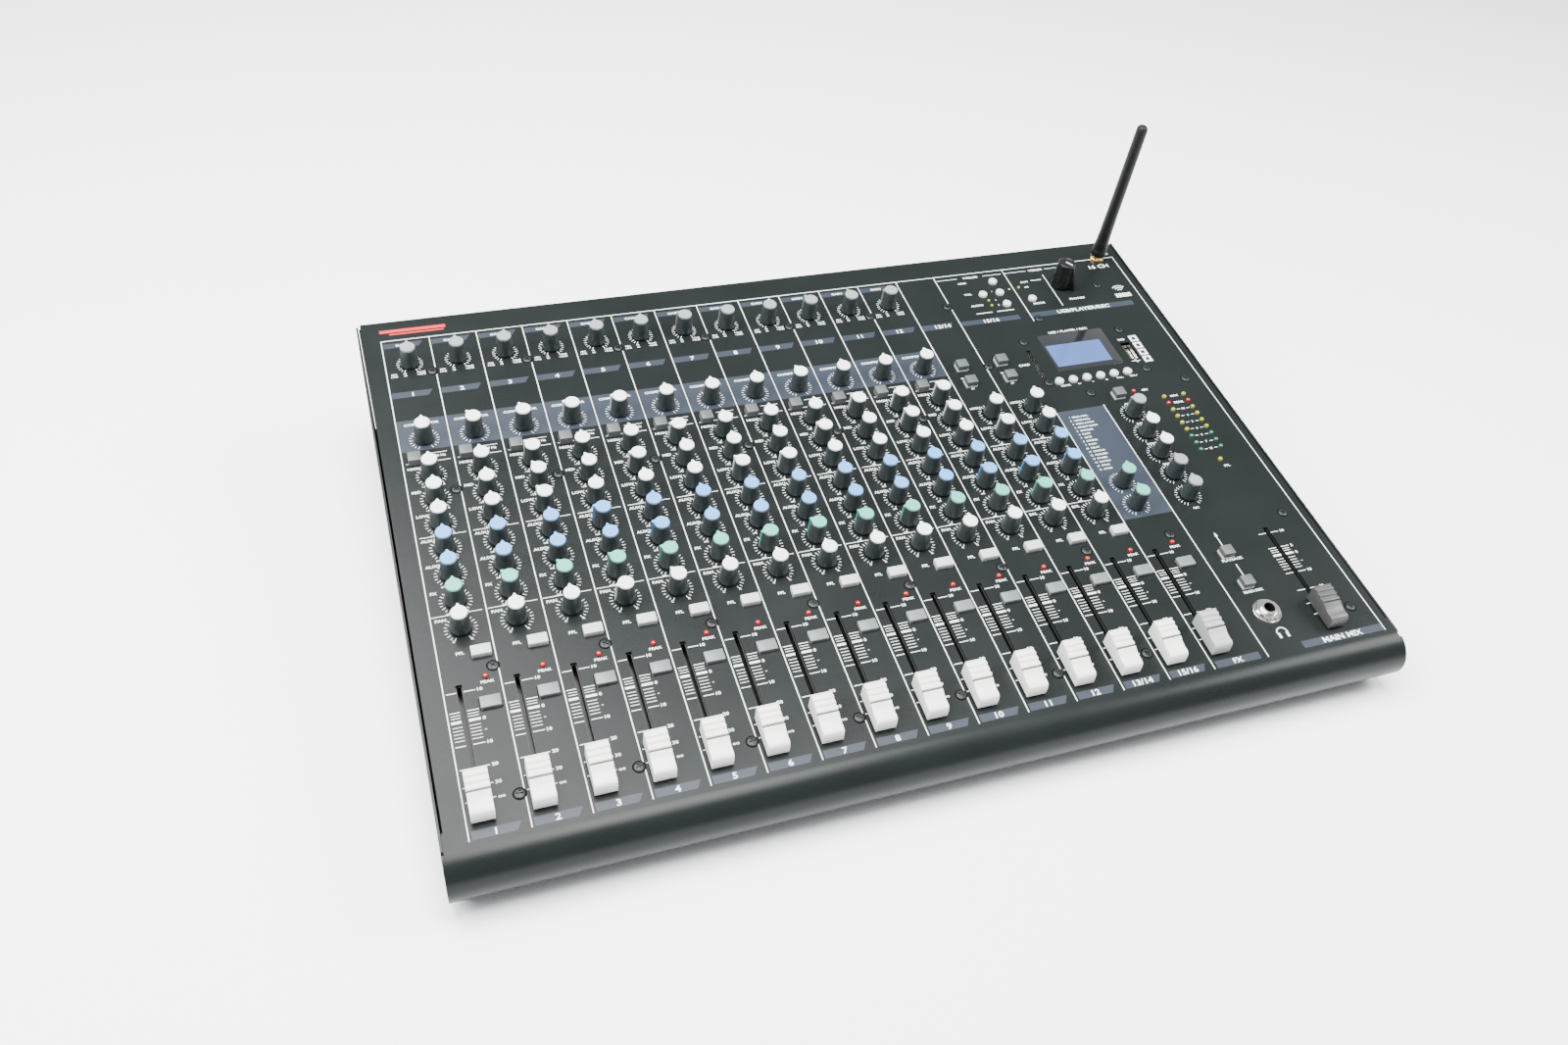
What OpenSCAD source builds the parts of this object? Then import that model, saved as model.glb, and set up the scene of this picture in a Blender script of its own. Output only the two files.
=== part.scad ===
// Sixteen-input mixing console: sloped sheet-steel case, channel strips with
// knobs, keys and slide faders, a player section and rear sockets.
// World frame: X to the right, Y to the back, Z up, origin on the table under
// the middle of the whole object. Things on the sloped panel are placed in the
// panel's own frame: x from the left white line, y up the slope from the top
// white line (so towards the player it is negative), h above the painted face.

/* [Case] */
// Width of the master section, from the effects strip to the side of the case
master_w = 92.1; // [84:0.1:140]
// Length of the flat sloped panel, from its rear edge to the rolled nose
panel_len = 359; // [340:1:440]
// Slope of the panel above the table
slope = 8; // [4:0.5:14]
// Outer radius of the rolled front nose
nose_r = 15; // [12:0.5:18]
// Thickness of the steel sheet
sheet_t = 1.2; // [0.8:0.1:1.6]
// Shadow gap between the panel's sides and the case's side walls
side_gap = 1.2; // [0.6:0.1:2]
// Height of the rubber feet
foot_h = 7.5; // [5:0.5:12]
// Radius of one rubber foot
foot_r = 9; // [7:0.5:12]

/* [Channel strips] */
// Width of one channel strip
pitch = 28; // [27:0.5:31]
// Number of microphone channels
mono_count = 12; // [8:1:12]
// Number of stereo channels
stereo_count = 2; // [1:1:2]
// Left edge of the first strip, from the side of the case
frame_left = 12.9; // [8:0.1:20]
// Top white line, from the rear edge of the panel
frame_top = 17.5; // [15:0.5:24]
// Row of gain knobs below the top line
gain_y = 22.5; // [20:0.5:28]
// Row of compressor knobs below the top line
comp_y = 86; // [80:0.5:90]
// First tone knob below the top line
tone_y = 114.7; // [112:0.1:118]
// Distance between rows of tone and send knobs
row_step = 17.8; // [17:0.1:19]

/* [Knobs] */
// Height of a small knob
knob_h = 13.2; // [11:0.1:16]
// Radius of a small knob at its foot
knob_foot_r = 5.6; // [5:0.1:6.4]
// Radius of a small knob at its cap
knob_cap_r = 4.6; // [4:0.1:5.2]
// Gap between a knob and the panel
knob_gap = 0.8; // [0.5:0.1:1.5]
// Radius of a control shaft
shaft_r = 3; // [2.5:0.1:3.2]
// Running clearance of a shaft in its bush
shaft_fit = 0.05; // [0.02:0.01:0.1]
// Height of the volume knob
volume_h = 18.5; // [15:0.5:22]

/* [Faders] */
// Length of travel of a fader
fader_travel = 60; // [55:1:62]
// Cap line at the lowest setting, below the top white line
fader_low_y = 319.5; // [312:0.5:322]
// Fader slot centre, from the left edge of its strip
fader_x = 7.7; // [7:0.1:9]
// Width of a fader slot
slot_w = 3.2; // [2.6:0.1:4]
// Width of a fader cap
cap_w = 11; // [9:0.5:12]
// Length of a fader cap
cap_len = 22.5; // [20:0.5:24]
// Height of a fader cap
cap_h = 10.8; // [9:0.1:13]

/* [Keys] */
// Travel of every key
key_travel = 1.5; // [1:0.1:2]
// Gap around a key in its cut-out
key_gap = 0.4; // [0.3:0.05:0.6]

/* [Rear sockets] */
// Radius of the round opening of a jack socket
jack_bore_r = 3.2; // [3.18:0.01:3.3]
// Height of the upper socket row above the table
upper_row_z = 61; // [58:0.5:63]
// Height of the lower socket row above the table
lower_row_z = 27; // [25:0.5:30]

/* [Antenna] */
// Height of the antenna above the panel
antenna_h = 108; // [80:1:140]

/* [Hidden] */
$fn = 48;
touch = 0.01;
strip_count = mono_count + stereo_count;
master_left = (strip_count + 1) * pitch;
body_w = frame_left + master_left + master_w;
cap_white = [0.92, 0.92, 0.9];
cap_grey = [0.7, 0.71, 0.71];
cap_dark = [0.3, 0.3, 0.3];
body_grey = [0.42, 0.44, 0.45];

// Case, in world millimetres
phono_proud = 9;
rear_proud = phono_proud - sheet_t;
nose_z = foot_h - sheet_t + nose_r;
panel_rise = panel_len * sin(slope);
panel_run = panel_len * cos(slope);
depth_all = nose_r + panel_run - nose_r * sin(slope) + rear_proud;
nose_y = nose_r - depth_all / 2;
rear_y = depth_all / 2 - rear_proud;
rear_z = nose_z + nose_r * cos(slope) + panel_rise;
floor_top = foot_h + sheet_t;
left_x = -body_w / 2;
inner_x = sheet_t + 0.3;

// Panel frame
board_h = -11;
board_t = 1.6;
below = -(sheet_t + 0.4);
full_nose_v = panel_len + 3;
gap_end_v = panel_len - 10;
rear_lip = 8.5;
master_x = master_left + 22;
effects_x = (strip_count + 0.5) * pitch;

function strip_x(i) = i * pitch;
function tone_row(k) = tone_y + k * row_step;
function mono_strips() = [0 : mono_count - 1];
function rest_mono() = [1 : mono_count - 1];
function stereo_strips() = [mono_count : strip_count - 1];

// Places measured from the left edge of the master section
function master(places) = [for (p = places) [master_left + p[0], p[1]]];

// Screws of the sloped panel: beside every second strip line, and the master side
strip_screws = [
    for (i = [1 : 2 : strip_count - 1])
        for (y = [tone_row(0.73), 247.3, 320.4])
            if (!(i > mono_count && y < 200))
                [strip_x(i) - (i > mono_count ? 4.6 : 2.4), y],
    for (i = [1 : 2 : strip_count - 1])
        [strip_x(i) - 2.2, 30.8]
];
master_screws = concat(
    master([[-20.5, 73.6], [-20.4, 113], [3, 127.2], [51.8, 73.8], [52, 113], [74, 127]]),
    master([[-5, 247], [74, 246.9], [73.9, 319.4], [0.7, 53.2], [58.6, 27.1]]),
    [[strip_x(strip_count - 1) + 2.2, 91]]
);

// ---------------------------------------------------------------- helpers

// Puts its children on the sloped panel: x across, y below the top line, h above
module on_panel(x, y, h = 0) {
    translate([left_x + frame_left + x, rear_y, rear_z])
        rotate([slope, 0, 0])
            translate([0, -frame_top - y, h])
                children();
}

// Puts its children on the rear panel's outer face, +Z pointing backwards
module on_rear(x, z) {
    translate([left_x + frame_left + x, rear_y - sheet_t, z])
        rotate([-90, 0, 0])
            children();
}

// A box centred on x and y, standing on z
module block(size) {
    translate([-size[0] / 2, -size[1] / 2, 0]) cube(size);
}

// Every place with a rotary control except the volume knob: [x, y]
function knob_places() = concat(
    [for (i = mono_strips()) for (y = [gain_y, comp_y]) [strip_x(i) + pitch / 2, y]],
    [for (i = mono_strips()) for (k = [0 : 6]) [strip_x(i) + pitch / 2, tone_row(k)]],
    [for (i = stereo_strips()) for (k = [1 : 6]) [strip_x(i) + pitch / 2, tone_row(k)]],
    [for (k = [2 : 6]) [master_x, tone_row(k)]],
    [for (k = [5, 6]) [effects_x, tone_row(k)]]
);

volume_place = [master_left + 32, 22];

// Fader slots: left edge of each strip
fader_strips = concat([for (i = [0 : strip_count]) strip_x(i)], [master_left + 48.3]);
jack_place = [master_left + 22.6, 310.9];
antenna_place = [master_left + 72.3, -0.6];

// Keys: places and sizes
low_cut_size = [7.4, 7, 4.6];
pfl_size = [10, 6, 3];
mute_size = [10.2, 6.6, 2.2];
square_size = [7.6, 7, 4.6];
dome_r = 2.9;
dome_h = 2;
key_low = -1;
well_floor = 2.2;
stem_low = board_h + well_floor + key_travel + 0.8;
low_cut_places = [for (i = mono_strips()) [strip_x(i) + 6.8, 102]];
pfl_places = [for (i = [0 : strip_count - 1]) [strip_x(i) + 21.3, 238]];
mute_places = [for (i = [0 : strip_count]) [strip_x(i) + 21, 268.4]];
square_places = concat(
    [for (i = stereo_strips()) for (y = [89, 104]) [strip_x(i) + 11.6, y]],
    master([[20, 133], [20.8, 268], [20.8, 290.6]])
);
player_places = [for (i = [0 : 5]) [master_left - 13.1 + 10.08 * i, 113.6]];
wireless_places = master([
    [-15.6, 11.4], [-28.2, 23.2], [-15.4, 23.2], [-15.4, 35.2], [5, 33.2]
]);

// Small lights: [x, y, radius]
light_places = concat(
    [for (i = [0 : strip_count]) [strip_x(i) + 21, 252.8, 1.5]],
    [for (k = [0 : 8]) for (x = [50.2, 64.7]) [master_left + x, 140.5 + 6 * k, 1.4]],
    [for (p = master([[58.4, 198.6], [32.2, 131.7]])) concat(p, [1.4])],
    [for (p = master([[0.3, 20.3], [-26.8, 29.8], [-26.7, 35]])) concat(p, [1])]
);

// One small knob with its shaft and a pointer at twelve o'clock
module knob() {
    translate([0, 0, knob_gap])
        cylinder(h = knob_h, r1 = knob_foot_r, r2 = knob_cap_r);
    translate([-0.6, 0, knob_gap + knob_h - 3])
        cube([1.2, knob_cap_r + 0.9, 3]);
    translate([0, 0, board_h + 3])
        cylinder(h = -board_h - 3 + knob_gap + touch, r = shaft_r);
}

module knob_at(x, y) {
    on_panel(x, y) knob();
}

// One press key: a cap, a square stem and a foot shoulder
module key(size) {
    top_r = 0.5;
    translate([0, 0, key_low])
        block([size[0], size[1], size[2] - key_low - top_r]);
    translate([0, 0, size[2] - top_r - touch])
        block([size[0] - 2 * top_r, size[1] - 2 * top_r, top_r + touch]);
    key_stem();
}

module key_stem() {
    translate([0, 0, stem_low])
        block([3.6, 3.6, key_low - stem_low + touch]);
}

module dome_key() {
    translate([0, 0, key_low]) cylinder(h = dome_h, r = dome_r);
    translate([0, 0, key_low + dome_h])
        intersection() {
            translate([0, 0, 1.3 - dome_r * 1.6]) sphere(r = dome_r * 1.6);
            cylinder(h = 2, r = dome_r);
        }
    key_stem();
}

// Side profile of a fader cap: y along the slope, z up
module fader_profile() {
    half = cap_len / 2;
    polygon([
        [-half, 1], [-half + 0.4, cap_h - 4.6], [-half + 3, cap_h - 2.2],
        [-half + 6.4, cap_h - 2.6], [-0.5, cap_h - 0.4], [-0.5, cap_h - 1.2],
        [0.5, cap_h - 1.2], [0.5, cap_h - 0.2], [half - 1.2, cap_h + 1.2],
        [half, cap_h - 0.8], [half, 1]
    ]);
}

// A fader cap with its lever, at the lowest setting of the strip at x
module fader_at(x) {
    on_panel(x + fader_x, fader_low_y) {
        translate([-cap_w / 2, 0, 0])
            rotate([90, 0, 90])
                linear_extrude(height = cap_w) fader_profile();
        translate([0, 0, board_h + 4])
            block([1.4, 5, -board_h - 4 + 1 + touch]);
    }
}

// ---------------------------------------------------------------- case

// Outline of the folded top sheet, seen from the side
module top_sheet_section() {
    flange = 14;
    difference() {
        union() {
            translate([nose_y, nose_z])
                difference() {
                    circle(r = nose_r);
                    circle(r = nose_r - sheet_t);
                    polygon([
                        [0, 0], [0, -2 * nose_r], [2 * nose_r, -2 * nose_r], [2 * nose_r, 2 * nose_r],
                        [-2 * nose_r * sin(slope), 2 * nose_r * cos(slope)]
                    ]);
                }
            translate([nose_y - touch, foot_h - sheet_t]) square([flange, sheet_t]);
            translate([rear_y, rear_z])
                rotate(slope)
                    translate([-panel_len - touch, -sheet_t]) square([panel_len + 2 * touch, sheet_t]);
            translate([rear_y - sheet_t, rear_z - rear_lip]) square([sheet_t, rear_lip - 0.5]);
        }
        translate([rear_y, rear_z - 10]) square([10, 20]);
    }
}

// Everything that is cut through the sloped panel
module panel_cutouts() {
    hole_r = shaft_r + 0.5;
    deep = 4;
    for (p = knob_places())
        on_panel(p[0], p[1], -deep) cylinder(h = 2 * deep, r = hole_r);
    on_panel(volume_place[0], volume_place[1], -deep) cylinder(h = 2 * deep, r = hole_r);
    for (x = fader_strips)
        on_panel(x + fader_x, fader_low_y - fader_travel / 2, -deep)
            block([slot_w, fader_travel + 9, 2 * deep]);
    for (p = low_cut_places) key_hole(p, low_cut_size, deep);
    for (p = pfl_places) key_hole(p, pfl_size, deep);
    for (p = mute_places) key_hole(p, mute_size, deep);
    for (p = square_places) key_hole(p, square_size, deep);
    for (p = concat(player_places, wireless_places))
        on_panel(p[0], p[1], -deep) cylinder(h = 2 * deep, r = dome_r + key_gap);
    for (p = light_places)
        on_panel(p[0], p[1], -deep) cylinder(h = 2 * deep, r = p[2] + 0.1);
    for (p = concat(strip_screws, master_screws))
        on_panel(p[0], p[1], -deep) cylinder(h = 2 * deep, r = 1.6);
    on_panel(display_place[0], display_place[1], -deep)
        block([display_size[0] + 0.2, display_size[1] + 0.2, 2 * deep]);
    on_panel(usb_place[0], usb_place[1], -deep) block([usb_size[0], usb_size[1], 2 * deep]);
    on_panel(card_place[0], card_place[1], -deep) block([card_size[0], card_size[1], 2 * deep]);
    on_panel(jack_place[0], jack_place[1], -deep) cylinder(h = 2 * deep, r = jack_bush_r + 0.2);
    on_panel(antenna_place[0], antenna_place[1], -deep) cylinder(h = 2 * deep, r = 3.4);
}

module key_hole(place, size, deep) {
    on_panel(place[0], place[1], -deep)
        block([size[0] + 2 * key_gap, size[1] + 2 * key_gap, 2 * deep]);
}

// The strip cut away along one side of the sloped sheet, up to the nose
module side_relief() {
    relief = sheet_t + side_gap;
    seam = sheet_t + 0.15;
    on_panel(-frame_left, -frame_top) {
        translate([-1, -gap_end_v, -nose_r])
            cube([relief + 1, gap_end_v + 20, 2 * nose_r]);
        translate([-1, -full_nose_v, -nose_r + 1])
            cube([seam + 1, full_nose_v, 2 * nose_r]);
    }
}

module top_panel() {
    color([0.13, 0.14, 0.14])
        difference() {
            translate([left_x, 0, 0])
                rotate([90, 0, 90])
                    linear_extrude(height = body_w) top_sheet_section();
            side_relief();
            mirror([1, 0, 0]) side_relief();
            panel_cutouts();
        }
}

// Side wall of the tray, seen from the side
module side_wall_section() {
    inside_r = nose_r - sheet_t - 0.2;
    translate([nose_y, nose_z]) circle(r = inside_r);
    polygon([
        [nose_y, foot_h],
        [rear_y - 2, foot_h],
        [rear_y - 2, rear_z - 2 * tan(slope) - touch],
        [rear_y - full_nose_v * cos(slope) + 4, rear_z - (full_nose_v * cos(slope) - 4) * tan(slope)],
        [nose_y - (nose_r - sheet_t - 0.2) * sin(slope), nose_z + inside_r * cos(slope)]
    ]);
}

module bottom_tray() {
    color([0.1, 0.11, 0.11]) {
        for (side = [0, 1])
            mirror([side, 0, 0])
                translate([left_x, 0, 0])
                    rotate([90, 0, 90])
                        linear_extrude(height = sheet_t) side_wall_section();
        translate([left_x + sheet_t - touch, nose_y + 2, foot_h])
            cube([body_w - 2 * sheet_t + 2 * touch, rear_y - 2 - nose_y - 2, sheet_t]);
    }
}

rear_top_z = rear_z - 2.2;

module rear_panel() {
    color([0.12, 0.13, 0.13])
        difference() {
            translate([left_x + inner_x, rear_y - 2 * sheet_t, floor_top])
                cube([body_w - 2 * inner_x, sheet_t, rear_top_z - floor_top]);
            for (i = mono_strips())
                on_rear(strip_x(i) + pitch / 2, upper_row_z) rear_hole(mic_r + 0.2);
            for (p = jack_spots) on_rear(p[0], p[1]) rear_hole(jack_bush_r + 0.2);
            for (p = output_spots) on_rear(p[0], p[1]) rear_hole(mic_r + 0.2);
            for (p = phono_spots) on_rear(p[0], p[1]) rear_hole(4.6);
            on_rear(inlet_spot[0], inlet_spot[1])
                translate([0, 0, -4]) block([inlet_size[0] + 0.4, inlet_size[1] + 0.4, 8]);
            on_rear(rocker_spot[0], rocker_spot[1])
                translate([0, 0, -4]) block([rocker_size[0] + 0.4, rocker_size[1] + 0.4, 8]);
        }
}

module rear_hole(r) {
    translate([0, 0, -4]) cylinder(h = 8, r = r);
}

// Feet and case screws
foot_spots = [
    for (x = [-1, 1]) for (y = [nose_y + 26, rear_y - 30]) [x * (body_w / 2 - 30), y]
];

module rubber_feet() {
    color([0.05, 0.05, 0.05])
        for (p = foot_spots)
            translate([p[0], p[1], 0])
                difference() {
                    cylinder(h = foot_h, r1 = foot_r - 1, r2 = foot_r);
                    translate([0, 0, -touch]) cylinder(h = 3, r = 3.5);
                }
}

// Pan-head screws that hold the rolled sheet to the tray and the rear panel
module case_screws() {
    color([0.2, 0.2, 0.2]) {
        for (x = [-0.4, -0.15, 0.15, 0.4])
            translate([x * body_w, nose_y + 8, foot_h - sheet_t - 1.4])
                cylinder(h = 1.4, r = 2.8);
        for (x = [-0.46, -0.23, 0, 0.23, 0.46])
            translate([x * body_w, rear_y, rear_z - rear_lip / 2 - 0.4])
                rotate([-90, 0, 0]) cylinder(h = 1.4, r = 2.8);
    }
}

// Countersunk look screws of the sloped panel
module panel_screws() {
    color([0.06, 0.06, 0.06])
        for (p = concat(strip_screws, master_screws))
            on_panel(p[0], p[1])
                difference() {
                    union() {
                        cylinder(h = 0.7, r = 2.9);
                        translate([0, 0, -5]) cylinder(h = 5 + touch, r = 1.4);
                    }
                    for (turn = [20, 110])
                        rotate(turn) translate([-1.8, -0.35, 0.3]) cube([3.6, 0.7, 1]);
                }
}

// ---------------------------------------------------------------- inside

module control_board() {
    board_gap = 12;
    board_start = 29;
    board_len = panel_len - 53;
    color([0.05, 0.25, 0.14])
        difference() {
            translate([left_x + board_gap, rear_y, rear_z])
                rotate([slope, 0, 0])
                    translate([0, -board_start - board_len, board_h - board_t])
                        cube([body_w - 2 * board_gap, board_len, board_t]);
            on_panel(jack_place[0], jack_place[1], board_h - 4) block([17, 17, 8]);
            on_panel(usb_place[0], usb_place[1], board_h - 4) block([10, 20, 8]);
        }
}

// Housings of the rotary controls, each with the bush its shaft runs in
module knob_pots() {
    pot_h = below - board_h;
    color([0.25, 0.26, 0.28])
        for (p = concat(knob_places(), [volume_place]))
            on_panel(p[0], p[1], board_h)
                difference() {
                    block([9.4, 10, pot_h]);
                    translate([0, 0, 2]) cylinder(h = pot_h, r = shaft_r + shaft_fit);
                }
}

// Steel channels that guide the fader levers
module fader_tracks() {
    track_h = below - board_h;
    color([0.5, 0.5, 0.52])
        for (x = fader_strips)
            on_panel(x + fader_x, fader_low_y - fader_travel / 2, board_h)
                difference() {
                    block([8, fader_travel + 15, track_h]);
                    translate([0, 0, 2.5]) block([2.2, fader_travel + 8, track_h]);
                }
}

// Latching switches under every key
module switch_bodies() {
    switch_h = min(key_low, below) - key_travel - 0.4 - board_h;
    color([0.2, 0.22, 0.3])
        for (p = concat(low_cut_places, pfl_places, mute_places, square_places,
                        player_places, wireless_places))
            on_panel(p[0], p[1], board_h)
                difference() {
                    block([5.6, 5.6, switch_h]);
                    translate([0, 0, well_floor]) block([4.2, 4.2, switch_h]);
                }
}

supply_size = [90, 80, 26];
supply_place = [60, rear_y - 130];
standoff_h = 4;

module power_supply() {
    leg = 8;
    color([0.6, 0.6, 0.58])
        translate([supply_place[0], supply_place[1], floor_top + standoff_h])
            difference() {
                cube(supply_size);
                for (i = [0 : 6])
                    translate([12 + 10 * i, 15, supply_size[2] - 4])
                        cube([4, supply_size[1] - 30, 5]);
            }
    color([0.7, 0.7, 0.7])
        for (x = [leg, supply_size[0] - leg])
            for (y = [leg, supply_size[1] - leg])
                translate([supply_place[0] + x, supply_place[1] + y, floor_top])
                    cylinder(h = standoff_h, r = 3);
}

// ---------------------------------------------------------------- knobs

module grey_knobs() {
    color([0.36, 0.38, 0.39]) {
        for (i = rest_mono()) knob_at(strip_x(i) + pitch / 2, gain_y);
        for (k = [2, 5, 6]) knob_at(master_x, tone_row(k));
    }
}

module white_knobs() {
    color([0.42, 0.44, 0.45]) {
        for (i = rest_mono()) knob_at(strip_x(i) + pitch / 2, comp_y);
        for (i = rest_mono())
            for (k = [0, 1, 2, 6]) knob_at(strip_x(i) + pitch / 2, tone_row(k));
        for (i = stereo_strips())
            for (k = [1, 2, 6]) knob_at(strip_x(i) + pitch / 2, tone_row(k));
        for (k = [3, 4]) knob_at(master_x, tone_row(k));
    }
}

module blue_knobs() {
    color([0.42, 0.55, 0.68])
        for (i = [1 : strip_count - 1])
            for (k = [3, 4]) knob_at(strip_x(i) + pitch / 2, tone_row(k));
}

module teal_knobs() {
    color([0.4, 0.62, 0.58]) {
        for (i = [1 : strip_count - 1]) knob_at(strip_x(i) + pitch / 2, tone_row(5));
        for (k = [5, 6]) knob_at(effects_x, tone_row(k));
    }
}

// The volume knob has a wing that points towards the front right
module volume_knob() {
    wing_turn = -52;
    color([0.06, 0.06, 0.06])
        on_panel(volume_place[0], volume_place[1]) {
            translate([0, 0, knob_gap]) cylinder(h = volume_h, r1 = 7.4, r2 = 5.7);
            rotate(wing_turn)
                translate([4, 0, knob_gap])
                    rotate([90, 0, 0])
                        translate([0, 0, -1.3])
                            linear_extrude(height = 2.6)
                                polygon([[0, 0], [7, 0], [1.6, volume_h - 1], [0, volume_h - 1]]);
            translate([0, 0, board_h + 3])
                cylinder(h = -board_h - 3 + knob_gap + touch, r = shaft_r);
        }
}

// ---------------------------------------------------------------- keys

module low_cut_keys() {
    color([0.5, 0.51, 0.52])
        for (p = low_cut_places) on_panel(p[0], p[1]) key(low_cut_size);
}

module pfl_keys() {
    color([0.74, 0.75, 0.75])
        for (p = pfl_places) on_panel(p[0], p[1]) key(pfl_size);
}

module mute_keys() {
    color([0.62, 0.65, 0.66])
        for (p = mute_places) on_panel(p[0], p[1]) key(mute_size);
}

module square_keys() {
    color([0.5, 0.51, 0.52])
        for (p = square_places) on_panel(p[0], p[1]) key(square_size);
}

module player_keys() {
    color([0.8, 0.81, 0.81])
        for (p = player_places) on_panel(p[0], p[1]) dome_key();
}

module wireless_keys() {
    color([0.8, 0.81, 0.81])
        for (p = wireless_places) on_panel(p[0], p[1]) dome_key();
}

// ---------------------------------------------------------------- panel fittings

display_place = [master_left + 15, 87.5];
display_size = [48.6, 35];
screen_place = [master_left + 12.6, 90.6];
screen_size = [41, 21];
usb_place = [master_left + 49.2, 95.6];
usb_size = [7.4, 17.4];
card_place = [master_left - 21.3, 94.8];
card_size = [3.4, 26];

module status_lights() {
    color([0.75, 0.1, 0.08])
        for (p = light_places)
            on_panel(p[0], p[1]) {
                translate([0, 0, board_h]) cylinder(h = 0.3 - board_h, r = p[2]);
                translate([0, 0, 0.3])
                    intersection() {
                        sphere(r = p[2]);
                        cylinder(h = 3, r = p[2]);
                    }
            }
}

module display_bezel() {
    color([0.02, 0.02, 0.03])
        difference() {
            on_panel(display_place[0], display_place[1], board_h)
                block([display_size[0], display_size[1], 0.2 - board_h]);
            on_panel(screen_place[0], screen_place[1], -5)
                block([screen_size[0], screen_size[1], 8]);
        }
}

module display_screen() {
    color([0.28, 0.36, 0.6])
        on_panel(screen_place[0], screen_place[1], -5)
            block([screen_size[0] - 0.1, screen_size[1] - 0.1, 4.6]);
}

// USB shell with its tongue, and the frame of the card slot
module media_sockets() {
    color([0.7, 0.7, 0.72]) {
        on_panel(usb_place[0], usb_place[1], -13) {
            difference() {
                block([5.8, 13.2, 12.4]);
                translate([0, 0, 1]) block([5.2, 12.6, 13]);
            }
            translate([1.1, 0, 0.8]) block([1.9, 11.4, 9]);
        }
        on_panel(card_place[0], card_place[1], board_h)
            difference() {
                block([4.6, 28, below - board_h]);
                translate([0, 0, 1]) block([2.6, 24.4, 12]);
            }
    }
}

jack_bush_r = 5.2;

// A jack socket: bush with a hexagon nut outside, housing inside
module jack(housing) {
    difference() {
        union() {
            translate([0, 0, -sheet_t - 0.3]) cylinder(h = sheet_t + 4.3, r = jack_bush_r - 0.2);
            translate([0, 0, touch]) cylinder(h = 2.4, r = 8, $fn = 6);
            translate([0, 0, -housing - sheet_t - 0.3]) block([14, 14, housing]);
        }
        translate([0, 0, -housing - sheet_t + 2]) cylinder(h = housing + 20, r = jack_bore_r);
    }
}

module phones_jack() {
    color([0.75, 0.75, 0.76])
        on_panel(jack_place[0], jack_place[1]) jack(22);
}

module antenna_socket() {
    color([0.78, 0.62, 0.25])
        on_panel(antenna_place[0], antenna_place[1]) {
            cylinder(h = 1.6, r = 5.4, $fn = 6);
            translate([0, 0, -8]) cylinder(h = 8 + touch, r = 3.1);
            translate([0, 0, 1.6 - touch]) cylinder(h = 1.6, r = 4.4);
        }
}

// Whip with a flared foot, a slim middle and a round tip
module antenna_whip() {
    tip_r = 3.7;
    color([0.05, 0.06, 0.06])
        on_panel(antenna_place[0], antenna_place[1], 3.25)
            rotate_extrude()
                union() {
                    polygon([
                        [0, 0], [4.4, 0], [5.2, 1.2], [5.2, 6.5], [4.5, 11.5], [4, 40],
                        [tip_r, antenna_h - 3.25 - tip_r], [0, antenna_h - 3.25 - tip_r]
                    ]);
                    intersection() {
                        translate([0, antenna_h - 3.25 - tip_r]) circle(r = tip_r);
                        translate([0, 40]) square([tip_r, antenna_h]);
                    }
                }
}

// ---------------------------------------------------------------- rear fittings

mic_r = 11.6;
socket_depth = 18;
jack_spots = concat(
    [for (i = [0 : strip_count - 1]) [strip_x(i) + pitch / 2, lower_row_z]],
    [for (i = stereo_strips()) [strip_x(i) + pitch / 2, upper_row_z]],
    [for (i = [0, 1]) [strip_x(strip_count + i) + pitch / 2, lower_row_z]]
);
output_spots = [for (i = [0, 1]) [strip_x(strip_count + i) + pitch / 2, upper_row_z]];
phono_spots = [for (x = [44, 59]) for (z = [-8, 8]) [master_left + x, upper_row_z + z]];
inlet_spot = [master_left + 60, lower_row_z];
inlet_size = [27.4, 20];
rocker_spot = [master_left + 78, upper_row_z];
rocker_size = [12.6, 19];

// Three-pole microphone sockets with a ring-shaped cup
module mic_sockets() {
    color([0.15, 0.15, 0.16]) {
        for (i = mono_strips())
            on_rear(strip_x(i) + pitch / 2, upper_row_z)
                difference() {
                    xlr_shell();
                    difference() {
                        translate([0, 0, 1.6 - 14]) cylinder(h = 15, r = 9.6);
                        translate([0, 0, 1.6 - 15]) cylinder(h = 17, r = 7.6);
                    }
                    for (turn = [0, 90, 180])
                        rotate(turn)
                            translate([3.9, 0, -9]) cylinder(h = 12, r = 1.3);
                }
        for (p = output_spots)
            on_rear(p[0], p[1]) {
                difference() {
                    xlr_shell();
                    translate([0, 0, 1.6 - 14]) cylinder(h = 15, r = 9.6);
                }
                for (turn = [0, 90, 180])
                    rotate(turn)
                        translate([3.9, 0, 1.6 - 14 - touch]) cylinder(h = 11, r = 1.2);
            }
    }
}

module xlr_shell() {
    block([26, 31, 1.6]);
    translate([0, 0, -socket_depth]) cylinder(h = socket_depth + touch, r = mic_r);
}

module line_jacks() {
    color([0.12, 0.12, 0.13])
        for (p = jack_spots) on_rear(p[0], p[1]) jack(18);
}

module phono_sockets() {
    color([0.7, 0.68, 0.6])
        for (p = phono_spots)
            on_rear(p[0], p[1])
                difference() {
                    union() {
                        cylinder(h = phono_proud, r = 4.15);
                        cylinder(h = 1.2, r = 6);
                        translate([0, 0, -10]) cylinder(h = 10 + touch, r = 4.3);
                    }
                    translate([0, 0, -6]) cylinder(h = 20, r = 1.6);
                    difference() {
                        translate([0, 0, 2]) cylinder(h = 20, r = 3.6);
                        translate([0, 0, 1]) cylinder(h = 6, r = 2.6);
                    }
                }
}

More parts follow.
